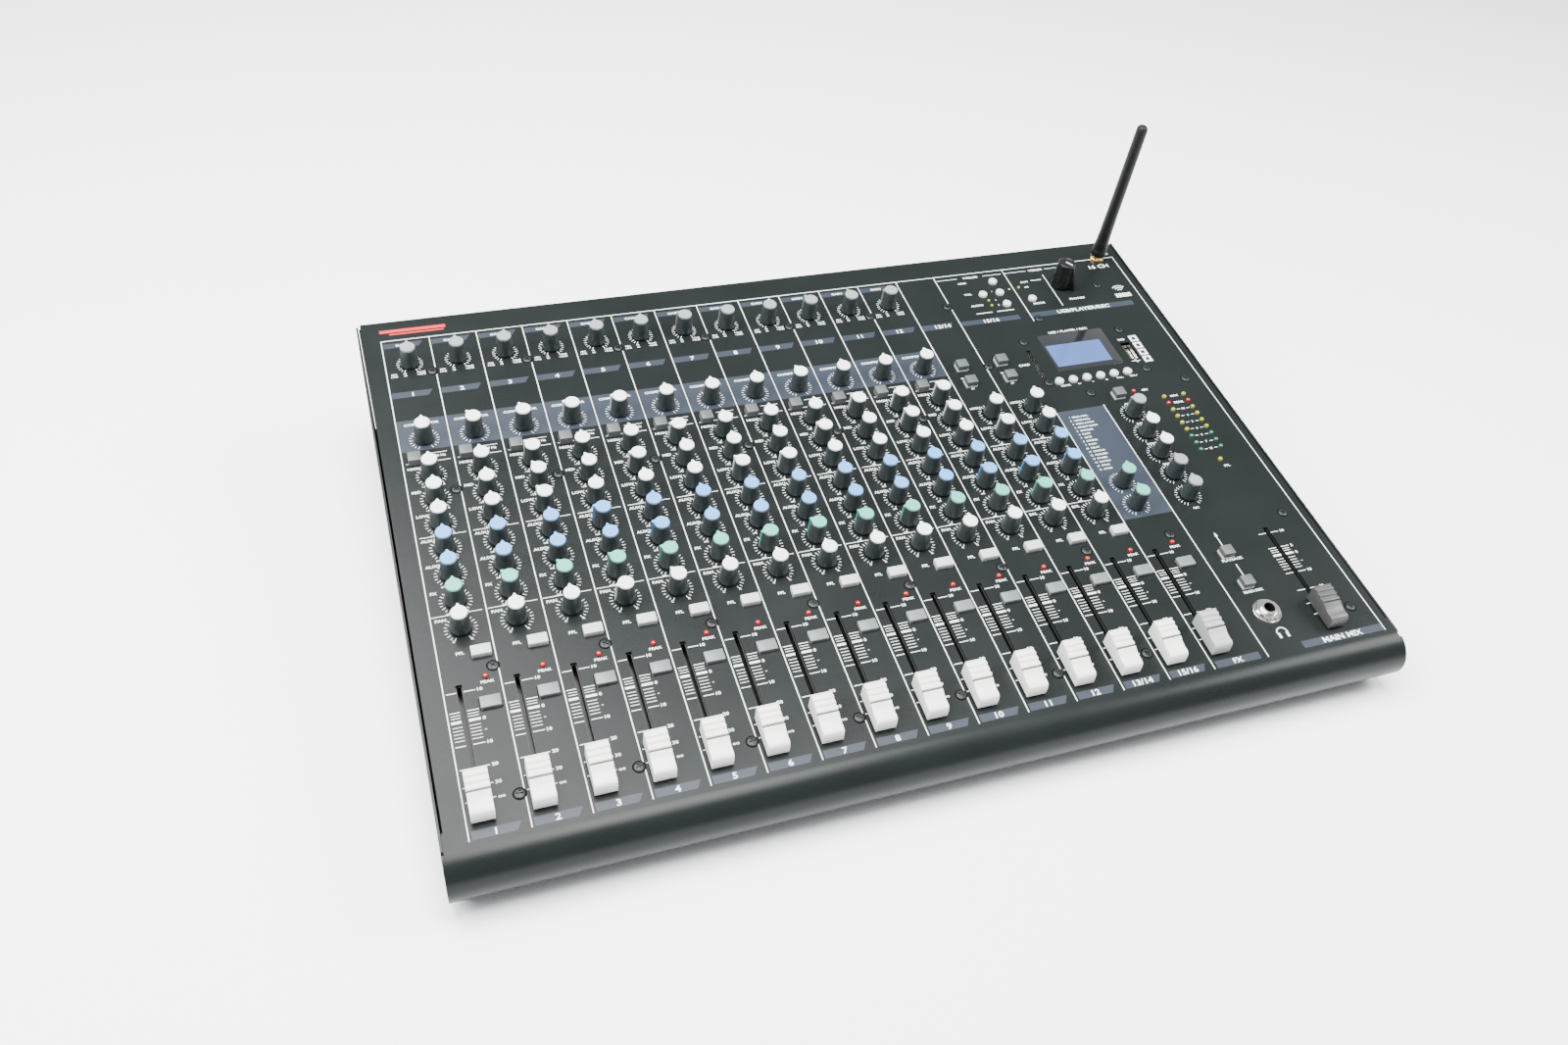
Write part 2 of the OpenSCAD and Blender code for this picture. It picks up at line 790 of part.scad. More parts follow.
// Three-pin mains inlet with a screw flange
module power_inlet() {
    color([0.08, 0.08, 0.08])
        on_rear(inlet_spot[0], inlet_spot[1]) {
            difference() {
                union() {
                    block([48, 23, 2]);
                    translate([0, 0, -16]) block([inlet_size[0], inlet_size[1], 16 + touch]);
                }
                translate([0, 0, -13.5]) block([24, 15.6, 20]);
                for (x = [-20, 20]) translate([x, 0, -1]) cylinder(h = 5, r = 1.7);
            }
            for (p = [[-7, -2.2], [0, 2.2], [7, -2.2]])
                translate([p[0], p[1], -13.5 - touch]) block([2, 4, 11]);
        }
}

module power_switch_frame() {
    color([0.06, 0.06, 0.06])
        on_rear(rocker_spot[0], rocker_spot[1])
            difference() {
                union() {
                    block([15, 21.4, 1.8]);
                    translate([0, 0, -12]) block([rocker_size[0], rocker_size[1], 12 + touch]);
                }
                translate([0, 0, -9]) block([10.4, 17, 20]);
            }
}

rocker_tilt = 8;

// The rocker stands switched off, with its lower half out, and pivots across its middle
module power_rocker() {
    color([0.1, 0.1, 0.1])
        on_rear(rocker_spot[0], rocker_spot[1])
            rotate([rocker_tilt, 0, 0])
                translate([-4.8, 0, 0])
                    rotate([90, 0, 90])
                        linear_extrude(height = 9.6)
                            polygon([
                                [-7.9, 2.6], [0, 1.4], [7.9, 2.6],
                                [7.2, -1], [2, -5], [-2, -5], [-7.2, -1]
                            ]);
}

// ---------------------------------------------------------------- output

top_panel();
bottom_tray();
rear_panel();
rubber_feet();
case_screws();
panel_screws();
control_board();
knob_pots();
fader_tracks();
switch_bodies();
grey_knobs();
white_knobs();
blue_knobs();
teal_knobs();
status_lights();
display_bezel();
display_screen();
media_sockets();
phones_jack();
antenna_whip();
antenna_socket();
mic_sockets();
line_jacks();
phono_sockets();
power_inlet();
power_switch_frame();
power_supply();
color(cap_white) fader_at(fader_strips[0]);  // fader_cap_1
color(cap_white) fader_at(fader_strips[1]);  // fader_cap_2
color(cap_white) fader_at(fader_strips[2]);  // fader_cap_3
color(cap_white) fader_at(fader_strips[3]);  // fader_cap_4
color(cap_white) fader_at(fader_strips[4]);  // fader_cap_5
color(cap_white) fader_at(fader_strips[5]);  // fader_cap_6
color(cap_white) fader_at(fader_strips[6]);  // fader_cap_7
color(cap_white) fader_at(fader_strips[7]);  // fader_cap_8
color(cap_white) fader_at(fader_strips[8]);  // fader_cap_9
color(cap_white) fader_at(fader_strips[9]);  // fader_cap_10
color(cap_white) fader_at(fader_strips[10]);  // fader_cap_11
color(cap_white) fader_at(fader_strips[11]);  // fader_cap_12
color(cap_white) fader_at(fader_strips[12]);  // fader_cap_13_14
color(cap_white) fader_at(fader_strips[13]);  // fader_cap_15_16
color(cap_grey) fader_at(fader_strips[14]);  // fader_cap_effects
color(cap_dark) fader_at(fader_strips[15]);  // fader_cap_main
color(body_grey) knob_at(pitch / 2, gain_y);  // gain_knob_1
color(body_grey) knob_at(pitch / 2, comp_y);  // compressor_knob_1
color(body_grey) knob_at(pitch / 2, tone_row(0));  // high_knob_1
color(body_grey) knob_at(pitch / 2, tone_row(1));  // mid_knob_1
color(body_grey) knob_at(pitch / 2, tone_row(2));  // low_knob_1
color(body_grey) knob_at(pitch / 2, tone_row(3));  // aux1_knob_1
color(body_grey) knob_at(pitch / 2, tone_row(4));  // aux2_knob_1
color(body_grey) knob_at(pitch / 2, tone_row(5));  // effects_knob_1
color(body_grey) knob_at(pitch / 2, tone_row(6));  // pan_knob_1
volume_knob();
low_cut_keys();
pfl_keys();
mute_keys();
square_keys();
player_keys();
wireless_keys();
power_rocker();
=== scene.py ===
# %% [markdown]
# # A sixteen-input mixing console
# The mechanical model arrives as a fixed frame in which every part has its place and its joint.
# This lesson gives it its looks: textured paint, screen print, knobs, caps, keys, lamps and sockets.
# Small parts are drawn in millimetres, because that is how such hardware is drawn, and are then
# put on the sloped panel with one matrix.

# %% Load the frame
import random
from math import cos, pi, radians, sin

import bmesh
import bpy
from mathutils import Matrix, Vector


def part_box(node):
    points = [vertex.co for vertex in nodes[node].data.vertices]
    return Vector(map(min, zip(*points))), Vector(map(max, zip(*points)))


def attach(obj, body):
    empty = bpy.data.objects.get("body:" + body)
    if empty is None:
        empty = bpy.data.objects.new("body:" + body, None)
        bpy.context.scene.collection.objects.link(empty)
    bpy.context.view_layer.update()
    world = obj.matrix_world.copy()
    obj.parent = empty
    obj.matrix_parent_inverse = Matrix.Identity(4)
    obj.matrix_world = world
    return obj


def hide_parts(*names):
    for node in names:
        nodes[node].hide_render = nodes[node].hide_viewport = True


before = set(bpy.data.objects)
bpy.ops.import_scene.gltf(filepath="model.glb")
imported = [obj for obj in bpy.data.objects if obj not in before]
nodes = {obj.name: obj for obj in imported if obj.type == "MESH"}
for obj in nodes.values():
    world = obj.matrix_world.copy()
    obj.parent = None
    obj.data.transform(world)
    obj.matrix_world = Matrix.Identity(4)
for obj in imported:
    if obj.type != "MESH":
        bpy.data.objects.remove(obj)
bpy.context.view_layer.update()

# %% [markdown]
# ## Where things go
# The painted panel slopes up to the back by eight degrees. Its print is measured from one corner
# of the white frame line: x to the right, y down the slope, h above the paint. The rear panel
# stands upright, and its places are given as x and a height above the table. All are millimetres.

# %% Panel and rear places
MM = 0.001
PITCH = 28.0
STRIPS = 12
STEREO = (12, 13)
ALL_STRIPS = 14
CASE_WIDE = 525
SIDE_MARGIN = 12.9
TOP_MARGIN = 17.5
SHEET = 1.2
SLOPE = radians(8)
panel_low, panel_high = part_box("top_panel")
corner = Vector((panel_low.x + SIDE_MARGIN * MM, panel_high.y, panel_high.z))
PANEL = (Matrix.Translation(corner) @ Matrix.Rotation(SLOPE, 4, "X")
         @ Matrix.Translation((0, -TOP_MARGIN * MM, 0)))
REAR = (Matrix.Translation((corner.x, panel_high.y - SHEET * MM, 0))
        @ Matrix.Rotation(-pi / 2, 4, "X"))


def at(x, y, h=0.0, turn=0.0):
    return (PANEL @ Matrix.Translation((x * MM, -y * MM, h * MM))
            @ Matrix.Rotation(radians(turn), 4, "Z"))


def behind(x, z, out=0.0, turn=0.0):
    return (REAR @ Matrix.Translation((x * MM, -z * MM, out * MM))
            @ Matrix.Rotation(radians(turn), 4, "Z"))


print("panel corner", [round(v, 4) for v in corner])

# %% [markdown]
# ## Camera, light and floor
# The console is seen from above the player's left shoulder through a moderately wide lens. The
# light is a bright tent: one broad soft source straight above, which draws the sheen along the
# rolled nose, one behind and to the left for the sheen of the panel, and two at the sides.

# %% Camera, lamps and floor
scene = bpy.context.scene


def new_object(name, data):
    obj = bpy.data.objects.new(name, data)
    scene.collection.objects.link(obj)
    return obj


forward = Vector((0.29935, 0.69629, -0.65236)).normalized()
upward = Vector((0.16032, 0.63728, 0.75377))
sideways = forward.cross(upward).normalized()
upward = sideways.cross(forward)
camera = new_object("camera", bpy.data.cameras.new("camera"))
camera.data.lens = 29.7415
camera.data.sensor_width = 36
camera.data.shift_x = -0.01864
camera.data.shift_y = -0.00633
camera.data.clip_start = 0.01
axes = Matrix((sideways, upward, -forward)).transposed()
camera.matrix_world = Matrix.Translation((-0.25467, -0.53117, 0.53561)) @ axes.to_4x4()
scene.camera = camera


def lamp(name, place, target, size, power, tint=(1, 1, 1)):
    data = bpy.data.lights.new(name, "AREA")
    data.shape = "RECTANGLE"
    data.size, data.size_y = size
    data.energy = power
    data.color = tint
    obj = new_object(name, data)
    aim = Vector(target) - Vector(place)
    obj.matrix_world = Matrix.Translation(place) @ aim.to_track_quat("-Z", "Y").to_matrix().to_4x4()
    return obj


lamp("overhead_tent", (-0.5, 0.3, 1.25), (-0.15, 0, 0.05), (0.9, 0.7), 42)
lamp("top_tent", (0.1, -0.12, 1.7), (0, -0.1, 0.05), (1.0, 0.7), 74)
lamp("left_window", (-1.3, -0.2, 1.2), (0, 0, 0.05), (0.8, 0.8), 45, (0.97, 0.99, 1))
lamp("right_window", (1.4, -0.3, 1.2), (0, 0, 0.05), (0.8, 0.8), 45)



def feed(tree, node, inputs):
    """Gives each named input of a node its value, or a link when the value is another socket."""
    for name, value in inputs.items():
        if isinstance(value, bpy.types.NodeSocket):
            tree.links.new(value, node.inputs[name])
        else:
            node.inputs[name].default_value = value
    return node


world = bpy.data.worlds.new("tent")
world.use_nodes = True
feed(world.node_tree, world.node_tree.nodes["Background"], {"Color": (0.93, 0.96, 1, 1), "Strength": 0.6})
scene.world = world


def floor_finish():
    mat = bpy.data.materials.new("floor_paper")
    mat.use_nodes = True
    feed(mat.node_tree, mat.node_tree.nodes["Principled BSDF"],
         {"Base Color": (0.96, 0.965, 0.97, 1), "Roughness": 0.8, "Specular IOR Level": 0.1})
    return mat


floor_mesh = bpy.data.meshes.new("floor")
floor_mesh.from_pydata([(-6, -6, 0), (6, -6, 0), (6, 6, 0), (-6, 6, 0)], [], [(0, 1, 2, 3)])
floor_mesh.materials.append(floor_finish())
floor = new_object("floor", floor_mesh)
print("camera", [round(v, 3) for v in camera.location])

# %% [markdown]
# ## Finishes
# Every real finish has some relief, and is never quite one colour or one gloss. One function
# builds them all: a fine noise gives the grain, a broad one makes the colour and the roughness
# drift a little, and painted or moulded edges are rubbed lighter where hands and cables touch.

# %% Finishes


def finish(name, colour, rough, grain=0.4, relief=0.1, drift=0.08, metal=0.0, coat=0.0,
           rub=0.0, worn=0.3, soft=0.0, clear=0.0, glow=0.0, brush=False,
           shine=0.5):
    mat = bpy.data.materials.new(name)
    mat.use_nodes = True
    tree = mat.node_tree
    shader = tree.nodes["Principled BSDF"]

    def add(kind, inputs, data_type=None, operation=None):
        node = tree.nodes.new("ShaderNode" + kind)
        if data_type:
            node.data_type = data_type
        if operation:
            node.operation = operation
        return feed(tree, node, inputs)

    coords = add("TexCoord", {}).outputs["Object"]
    place = add("Mapping", {"Scale": (1, 14, 1) if brush else (1, 1, 1), "Vector": coords})
    fine = add("TexNoise", {"Scale": 1000 / grain, "Detail": 3, "Vector": place.outputs["Vector"]})
    broad = add("TexNoise", {"Scale": 22, "Detail": 4, "Vector": coords})
    both = add("Mix", {"Factor": 0.35, "A": broad.outputs["Fac"], "B": fine.outputs["Fac"]})
    both = both.outputs["Result"]
    spread = add("MapRange", {"From Min": 0.35, "From Max": 0.65, "Value": both}).outputs["Result"]
    tone = add("Mix", {"A": [c * (1 - drift) for c in colour] + [1],
                       "B": [min(1, c * (1 + drift)) for c in colour] + [1],
                       "Factor": spread}, "RGBA")
    colour_out = tone.outputs["Result"]
    if rub:
        edge = add("Bevel", {"Radius": 0.0006})
        edge.samples = 4
        flat = add("NewGeometry", {})
        turn = add("VectorMath", {0: edge.outputs["Normal"], 1: flat.outputs["Normal"]},
                   operation="DOT_PRODUCT")
        edges = add("MapRange", {"From Min": 0.99, "From Max": 0.8, "To Max": rub,
                                 "Value": turn.outputs["Value"]})
        patchy = add("Math", {0: edges.outputs["Result"], 1: spread}, operation="MULTIPLY")
        rubbed = add("Mix", {"A": colour_out, "B": (worn, worn, worn, 1),
                             "Factor": patchy.outputs["Value"]}, "RGBA")
        colour_out = rubbed.outputs["Result"]
    gloss = add("MapRange", {"To Min": max(0.02, rough - 0.07), "To Max": min(1, rough + 0.07),
                             "Value": both})
    bump = add("Bump", {"Strength": relief, "Distance": grain * 0.0002, "Height": fine.outputs["Fac"]})
    feed(tree, shader, {
        "Base Color": colour_out, "Roughness": gloss.outputs["Result"],
        "Normal": bump.outputs["Normal"], "Metallic": metal, "Specular IOR Level": shine,
        "Coat Weight": coat, "Coat Roughness": 0.08, "Transmission Weight": clear})
    if soft:
        feed(tree, shader, {"Subsurface Weight": soft, "Subsurface Scale": 1,
                            "Subsurface Radius": (0.002, 0.002, 0.002)})
    if glow:
        feed(tree, shader, {"Emission Color": (*colour, 1), "Emission Strength": glow})
    return mat


PAINT = finish("satin_black_powder", (0.0066, 0.0085, 0.0082), 0.29, 0.5, 0.22, 0.1,
               rub=0.4, worn=0.05, shine=0.14)
CASE = finish("case_black_powder", (0.0075, 0.009, 0.009), 0.36, 0.6, 0.3, 0.12,
              rub=0.4, worn=0.05, shine=0.2)
INK = finish("white_print", (0.66, 0.68, 0.67), 0.55, 0.25, 0.2, 0.06)
SLATE = finish("slate_print", (0.017, 0.0225, 0.032), 0.42, 0.3, 0.25, 0.06, shine=0.25)
RED_INK = finish("red_print", (0.42, 0.008, 0.008), 0.5, 0.3, 0.2, 0.08)
KNOB = finish("knob_plastic", (0.019, 0.025, 0.026), 0.34, 0.5, 0.2, 0.1, rub=0.3,
              worn=0.15)
CAP_GREY = finish("cap_grey", (0.2, 0.21, 0.21), 0.42, 0.4, 0.12, 0.05)
CAP_WHITE = finish("cap_white", (0.72, 0.74, 0.72), 0.4, 0.4, 0.12, 0.04)
CAP_BLUE = finish("cap_blue", (0.085, 0.25, 0.55), 0.4, 0.4, 0.12, 0.05)
CAP_TEAL = finish("cap_teal", (0.07, 0.34, 0.27), 0.4, 0.4, 0.12, 0.05)
FADER_WHITE = finish("fader_white", (0.72, 0.72, 0.69), 0.38, 0.6, 0.12, 0.03, soft=0.1)
FADER_GREY = finish("fader_grey", (0.3, 0.31, 0.3), 0.4, 0.6, 0.12, 0.04)
FADER_DARK = finish("fader_dark", (0.045, 0.046, 0.045), 0.42, 0.6, 0.15, 0.06, rub=0.3)
GROOVE = finish("groove_paint", (0.02, 0.02, 0.02), 0.6, 0.3, 0.2, 0.1)
KEY_FROST = finish("frosted_key", (0.13, 0.14, 0.14), 0.4, 0.4, 0.15, 0.08, soft=0.3, clear=0.08)
KEY_LIGHT = finish("light_key", (0.42, 0.43, 0.42), 0.42, 0.4, 0.12, 0.05, soft=0.1)
KEY_GREY = finish("grey_key", (0.06, 0.065, 0.065), 0.45, 0.4, 0.18, 0.06)
DOME = finish("dome_white", (0.5, 0.51, 0.5), 0.3, 0.5, 0.08, 0.04, soft=0.2)
VOLUME = finish("volume_plastic", (0.0045, 0.005, 0.005), 0.32, 0.5, 0.15, 0.12, rub=0.3,
                worn=0.06, shine=0.25)
BLACK = finish("black_oxide", (0.012, 0.013, 0.013), 0.3, 0.3, 0.3, 0.15, metal=0.4, rub=0.6,
               worn=0.2)
NICKEL = finish("nickel", (0.68, 0.66, 0.62), 0.2, 0.3, 0.08, 0.06, metal=1)
GOLD = finish("gold_plate", (0.85, 0.62, 0.24), 0.22, 0.3, 0.08, 0.08, metal=1)
# The track steel is darkened to near black: painted shade, so the deep fader slots read dark.
TRACK = finish("oiled_track", (0.012, 0.012, 0.012), 0.4, 0.4, 0.15, 0.1, metal=0.5, brush=True)
# Near-black ring material: painted shadow round each panel screw head.
SHADOW = finish("recess_black", (0.001, 0.001, 0.001), 0.8, 0.4, 0.15, 0.1, shine=0.05)
SCREW = finish("blacked_screw", (0.009, 0.011, 0.011), 0.38, 0.3, 0.3, 0.12, rub=0.3,
               worn=0.05, shine=0.25)
STEEL = finish("pressed_steel", (0.45, 0.46, 0.47), 0.32, 0.4, 0.15, 0.1, metal=1, brush=True)
RUBBER = finish("moulded_rubber", (0.004, 0.0045, 0.0045), 0.55, 0.5, 0.3, 0.15, shine=0.2)
SOCKET = finish("socket_plastic", (0.006, 0.006, 0.0065), 0.4, 0.4, 0.2, 0.12, rub=0.3,
                worn=0.1)
BOARD = finish("solder_mask", (0.012, 0.09, 0.045), 0.3, 1.2, 0.2, 0.2, coat=0.4)
GLASS_BLACK = finish("window_black", (0.008, 0.009, 0.01), 0.06, 2.0, 0.02, 0.1, coat=1)
LCD = finish("lcd_blue", (0.045, 0.085, 0.22), 0.12, 0.28, 0.05, 0.04, coat=1)
# The red lenses carry a faint emission: a painted glow, though the lamps are off.
RED_LENS = finish("red_lens", (0.36, 0.006, 0.005), 0.12, 0.5, 0.04, 0.1, clear=0.3, coat=0.6, glow=0.05)
AMBER_LENS = finish("yellow_lens", (0.27, 0.28, 0.012), 0.14, 0.5, 0.04, 0.1, clear=0.25, coat=0.6)
GREEN_LENS = finish("green_lens", (0.008, 0.13, 0.06), 0.14, 0.5, 0.04, 0.1, clear=0.25, coat=0.6)
RED_RING = finish("red_ring", (0.5, 0.03, 0.025), 0.4, 0.5, 0.1, 0.08)
WHITE_RING = finish("white_ring", (0.75, 0.74, 0.7), 0.4, 0.5, 0.1, 0.05)
print(len(bpy.data.materials), "finishes")

# %% [markdown]
# ## Drawing closed solids
# A moulded or turned part is a profile that was swept or spun. The helper below gathers such
# solids into one mesh, makes their faces point outwards, rounds the edges where asked, and keeps
# only the sharp edges sharp.

# %% Solid helper


class Form:
    def __init__(self):
        self.verts, self.faces, self.slots = [], [], []

    def add(self, verts, faces, place=None, slot=0):
        place = place or Matrix()
        start = len(self.verts)
        self.verts += [place @ (Vector(v) * MM) for v in verts]
        self.faces += [[start + i for i in face] for face in faces]
        self.slots += [slot] * len(faces)
        return self

    def loft(self, rings, place=None, slot=0, closed=False):
        """Walls through rings of equally many points, and flat ends unless the rings close up."""
        n, last = len(rings[0]), len(rings) - 1
        faces = [] if closed else [list(range(n))[::-1], list(range(last * n, last * n + n))]
        for k in range(last + closed):
            low, high = k * n, (k + 1) % len(rings) * n
            faces += [[low + i, low + (i + 1) % n, high + (i + 1) % n, high + i] for i in range(n)]
        return self.add([point for ring in rings for point in ring], faces, place, slot)

    def prism(self, outline, low, high, place=None, slot=0):
        return self.loft([[(x, y, z) for x, y in outline] for z in (low, high)], place, slot)

    def block(self, size, low, high, place=None, slot=0, centre=(0, 0)):
        a, b = size[0] / 2, size[1] / 2
        cx, cy = centre
        outline = [(cx - a, cy - b), (cx + a, cy - b), (cx + a, cy + b), (cx - a, cy + b)]
        return self.prism(outline, low, high, place, slot)

    def spun(self, profile, steps=32, place=None, slot=0, ring=False):
        verts, rows, faces = [], [], []
        for r, z in profile:
            row = [len(verts)] if r < 1e-6 else list(range(len(verts), len(verts) + steps))
            for i in range(len(row)):
                a = 2 * pi * i / steps
                verts.append((r * cos(a), r * sin(a), z))
            rows.append(row)
        pairs = list(zip(rows, rows[1:])) + ([(rows[-1], rows[0])] if ring else [])
        for low, high in pairs:
            for i in range(steps):
                j = (i + 1) % steps
                face = [low[i % len(low)], low[j % len(low)],
                        high[j % len(high)], high[i % len(high)]]
                faces.append(list(dict.fromkeys(face)))
        return self.add(verts, [f for f in faces if len(f) > 2], place, slot)

    def build(self, name, finishes, body="console", sharp=32, bevel=0.0, steps=2):
        mesh = bpy.data.meshes.new(name)
        mesh.from_pydata([tuple(v) for v in self.verts], [], self.faces)
        for mat in finishes:
            mesh.materials.append(mat)
        mesh.polygons.foreach_set("material_index", self.slots)
        work = bmesh.new()
        work.from_mesh(mesh)
        bmesh.ops.recalc_face_normals(work, faces=work.faces)
        work.to_mesh(mesh)
        work.free()
        obj = new_object(name, mesh)
        if bevel:
            edge = obj.modifiers.new("round", "BEVEL")
            edge.width = bevel * MM
            edge.segments = steps
            edge.angle_limit = radians(sharp)
            settle(obj)
        soften(obj, sharp)
        if body:
            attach(obj, body)
        return obj


def soften(obj, sharp):
    obj.data.shade_smooth()
    obj.data.set_sharp_from_angle(angle=radians(sharp))


def scrap(*objects):
    for obj in objects:
        bpy.data.objects.remove(obj)


def settle(obj):
    """Turns an object with live modifiers into a plain mesh."""
    graph = bpy.context.evaluated_depsgraph_get()
    plain = bpy.data.meshes.new_from_object(obj.evaluated_get(graph))
    plain.name = obj.name
    obj.modifiers.clear()
    obj.data = plain
    return obj


def cut(obj, tool):
    """Removes the tool's volume from the object, as a milling cutter would."""
    away = obj.modifiers.new("cut", "BOOLEAN")
    away.operation = "DIFFERENCE"
    away.solver = "EXACT"
    away.object = tool
    settle(obj)
    scrap(tool)
    return obj


def ring_points(r, count):
    """Evenly spaced points on a circle, such as the corners of a nut."""
    return [(r * cos(2 * pi * i / count), r * sin(2 * pi * i / count))
            for i in range(count)]


def rounded(width, length, r, steps=4):
    points = []
    for cx, cy, start in ((1, 1, 0), (-1, 1, 90), (-1, -1, 180), (1, -1, 270)):
        for i in range(steps + 1):
            a = radians(start + 90 * i / steps)
            points.append((cx * (width / 2 - r) + r * cos(a),
                           cy * (length / 2 - r) + r * sin(a)))
    return points


print("solid helper ready")

# %% [markdown]
# ## Parts that repeat
# A console is the same knob, screw and tick mark over and over. Two node trees do the repeating.
# The first puts one finished part on every point, turned by the point's own angle. The second
# draws the ring of dial marks: a long mark, then a short one, over three hundred degrees.

# %% Node trees for repeated parts


def new_tree(name, sockets):
    tree = bpy.data.node_groups.new(name, "GeometryNodeTree")
    named = {}
    for label, kind in (("Geometry", "Geometry"), *sockets, ("Finish", "Material")):
        socket = tree.interface.new_socket(label, in_out="INPUT", socket_type="NodeSocket" + kind)
        named[label] = socket.identifier
    tree.interface.new_socket("Geometry", in_out="OUTPUT", socket_type="NodeSocketGeometry")
    inward = tree.nodes.new("NodeGroupInput").outputs
    return tree, named, inward, tree.nodes.new("NodeGroupOutput")


def add_to(tree):
    """A short way to add a node to one tree and feed its inputs."""
    return lambda kind, inputs: feed(tree, tree.nodes.new(kind), inputs)


def close_tree(tree, source, inward, outward):
    add = add_to(tree)
    real = add("GeometryNodeRealizeInstances", {"Geometry": source})
    dress = add("GeometryNodeSetMaterial", {"Geometry": real.outputs["Geometry"],
                                            "Material": inward["Finish"]})
    feed(tree, outward, {"Geometry": dress.outputs["Geometry"]})


def turned(add, angle):
    about = add("ShaderNodeCombineXYZ", {"Z": angle})
    euler = add("FunctionNodeEulerToRotation", {"Euler": about.outputs["Vector"]})
    return euler.outputs["Rotation"]


def spread_tree():
    tree, named, inward, outward = new_tree("repeat_part", [("Part", "Object")])
    add = add_to(tree)
    part = add("GeometryNodeObjectInfo", {"Object": inward["Part"]})
    turn = add("GeometryNodeInputNamedAttribute", {"Name": "turn"})
    turn.data_type = "FLOAT"
    put = add("GeometryNodeInstanceOnPoints", {
        "Points": inward["Geometry"], "Instance": part.outputs["Geometry"],
        "Rotation": turned(add, turn.outputs["Attribute"])})
    close_tree(tree, put.outputs["Instances"], inward, outward)
    return tree, named


def dial_tree():
    sizes = ("Radius", "Sweep", "Long", "Short", "Width", "Thickness")
    tree, named, inward, outward = new_tree(
        "dial_marks", [("Count", "Int"), *((label, "Float") for label in sizes)])
    add = add_to(tree)

    def maths(operation, a, b):
        node = add("ShaderNodeMath", {0: a, 1: b})
        node.operation = operation
        return node.outputs["Value"]

    index = add("GeometryNodeInputIndex", {}).outputs["Index"]
    share = maths("DIVIDE", index, maths("SUBTRACT", inward["Count"], 1))
    swing = maths("MULTIPLY", maths("SUBTRACT", share, 0.5), inward["Sweep"])
    angle = maths("SUBTRACT", pi / 2, swing)
    shorter = maths("SUBTRACT", inward["Short"], inward["Long"])
    length = maths("ADD", inward["Long"], maths("MULTIPLY", maths("MODULO", index, 2), shorter))
    middle = maths("SUBTRACT", inward["Radius"], maths("MULTIPLY", length, 0.5))
    spot = add("ShaderNodeCombineXYZ", {"X": maths("MULTIPLY", middle, maths("COSINE", angle, 0)),
                                        "Y": maths("MULTIPLY", middle, maths("SINE", angle, 0))})
    dots = add("GeometryNodePoints", {"Count": inward["Count"], "Position": spot.outputs["Vector"]})
    size = add("ShaderNodeCombineXYZ", {"X": length, "Y": inward["Width"], "Z": inward["Thickness"]})
    mark = add("GeometryNodeMeshCube", {"Size": (1, 1, 1)})
    marks = add("GeometryNodeInstanceOnPoints", {
        "Points": dots.outputs["Points"], "Instance": mark.outputs["Mesh"],
        "Rotation": turned(add, angle), "Scale": size.outputs["Vector"]})
    dials = add("GeometryNodeInstanceOnPoints", {"Points": inward["Geometry"],
                                                 "Instance": marks.outputs["Instances"]})
    close_tree(tree, dials.outputs["Instances"], inward, outward)
    return tree, named


SPREAD, DIALS = spread_tree(), dial_tree()


def grow(name, kind, spots, settings, body="console", frame_matrix=None, smooth=True):
    """Evaluates a tree on the given spots (x, y, turn) and keeps the result as a plain mesh."""
    tree, named = kind
    dots = bpy.data.meshes.new(name)
    dots.from_pydata([(s[0] * MM, -s[1] * MM, 0) for s in spots], [], [])
    turn = dots.attributes.new("turn", "FLOAT", "POINT")
    turn.data.foreach_set("value", [radians(s[2]) if len(s) > 2 else 0.0 for s in spots])
    obj = new_object(name, dots)
    live = obj.modifiers.new("nodes", "NODES")
    live.node_group = tree
    for label, value in settings.items():
        live[named[label]] = value
    settle(obj)
    obj.data.transform(frame_matrix or PANEL)
    if "turn" in obj.data.attributes:
        obj.data.attributes.remove(obj.data.attributes["turn"])
    if smooth:
        soften(obj, 32)
    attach(obj, body)
    return obj


def repeat(name, part, spots, mat, body="console", frame_matrix=None):
    return grow(name, SPREAD, spots, {"Part": part, "Finish": mat}, body, frame_matrix)


print("node trees:", [tree.name for tree, _ in (SPREAD, DIALS)])

# %% [markdown]
# ## The case
# The top is one folded sheet with a rolled nose, sprayed with satin black powder that hides
# fingerprints. The shapes come straight from the frame, so they only need their finishes.

# %% Dress the parts that keep their own shape
for node, mat in {
    "top_panel": PAINT, "bottom_tray": CASE, "rear_panel": CASE, "rubber_feet": RUBBER,
    "control_board": BOARD, "knob_pots": STEEL, "fader_tracks": TRACK, "switch_bodies": SOCKET,
    "power_supply": STEEL, "media_sockets": NICKEL, "mic_sockets": SOCKET, "line_jacks": SOCKET,
    "phono_sockets": NICKEL, "power_inlet": SOCKET, "power_switch_frame": SOCKET,
    "power_rocker": SOCKET,
}.items():
    mesh = nodes[node].data
    mesh.materials.clear()
    mesh.materials.append(mat)
print("dressed the case and the sockets")

# %% [markdown]
# ## Screws
# The panel is held by small black cross-head screws beside the strip lines. The recess is cut
# into the head with a boolean, as a header tool presses it. A dark ring of painted shadow lies
# under each head and sets it off from the sheet.

# %% Screws


def screw_head(r, high):
    head = Form().spun([(0, -0.3), (r, -0.3), (r, high * 0.45), (r * 0.86, high * 0.8),
                        (r * 0.5, high), (0, high)], 24)
    head = head.build("screw", [BLACK], None)
    arm, thick = r * 0.62, r * 0.13
    cross = [(thick, thick), (thick, arm), (-thick, arm), (-thick, thick), (-arm, thick),
             (-arm, -thick), (-thick, -thick), (-thick, -arm), (thick, -arm), (thick, -thick),
             (arm, -thick), (arm, thick)]
    return cut(head, Form().prism(cross, -0.2, high + 1).build("driver", [BLACK], None))


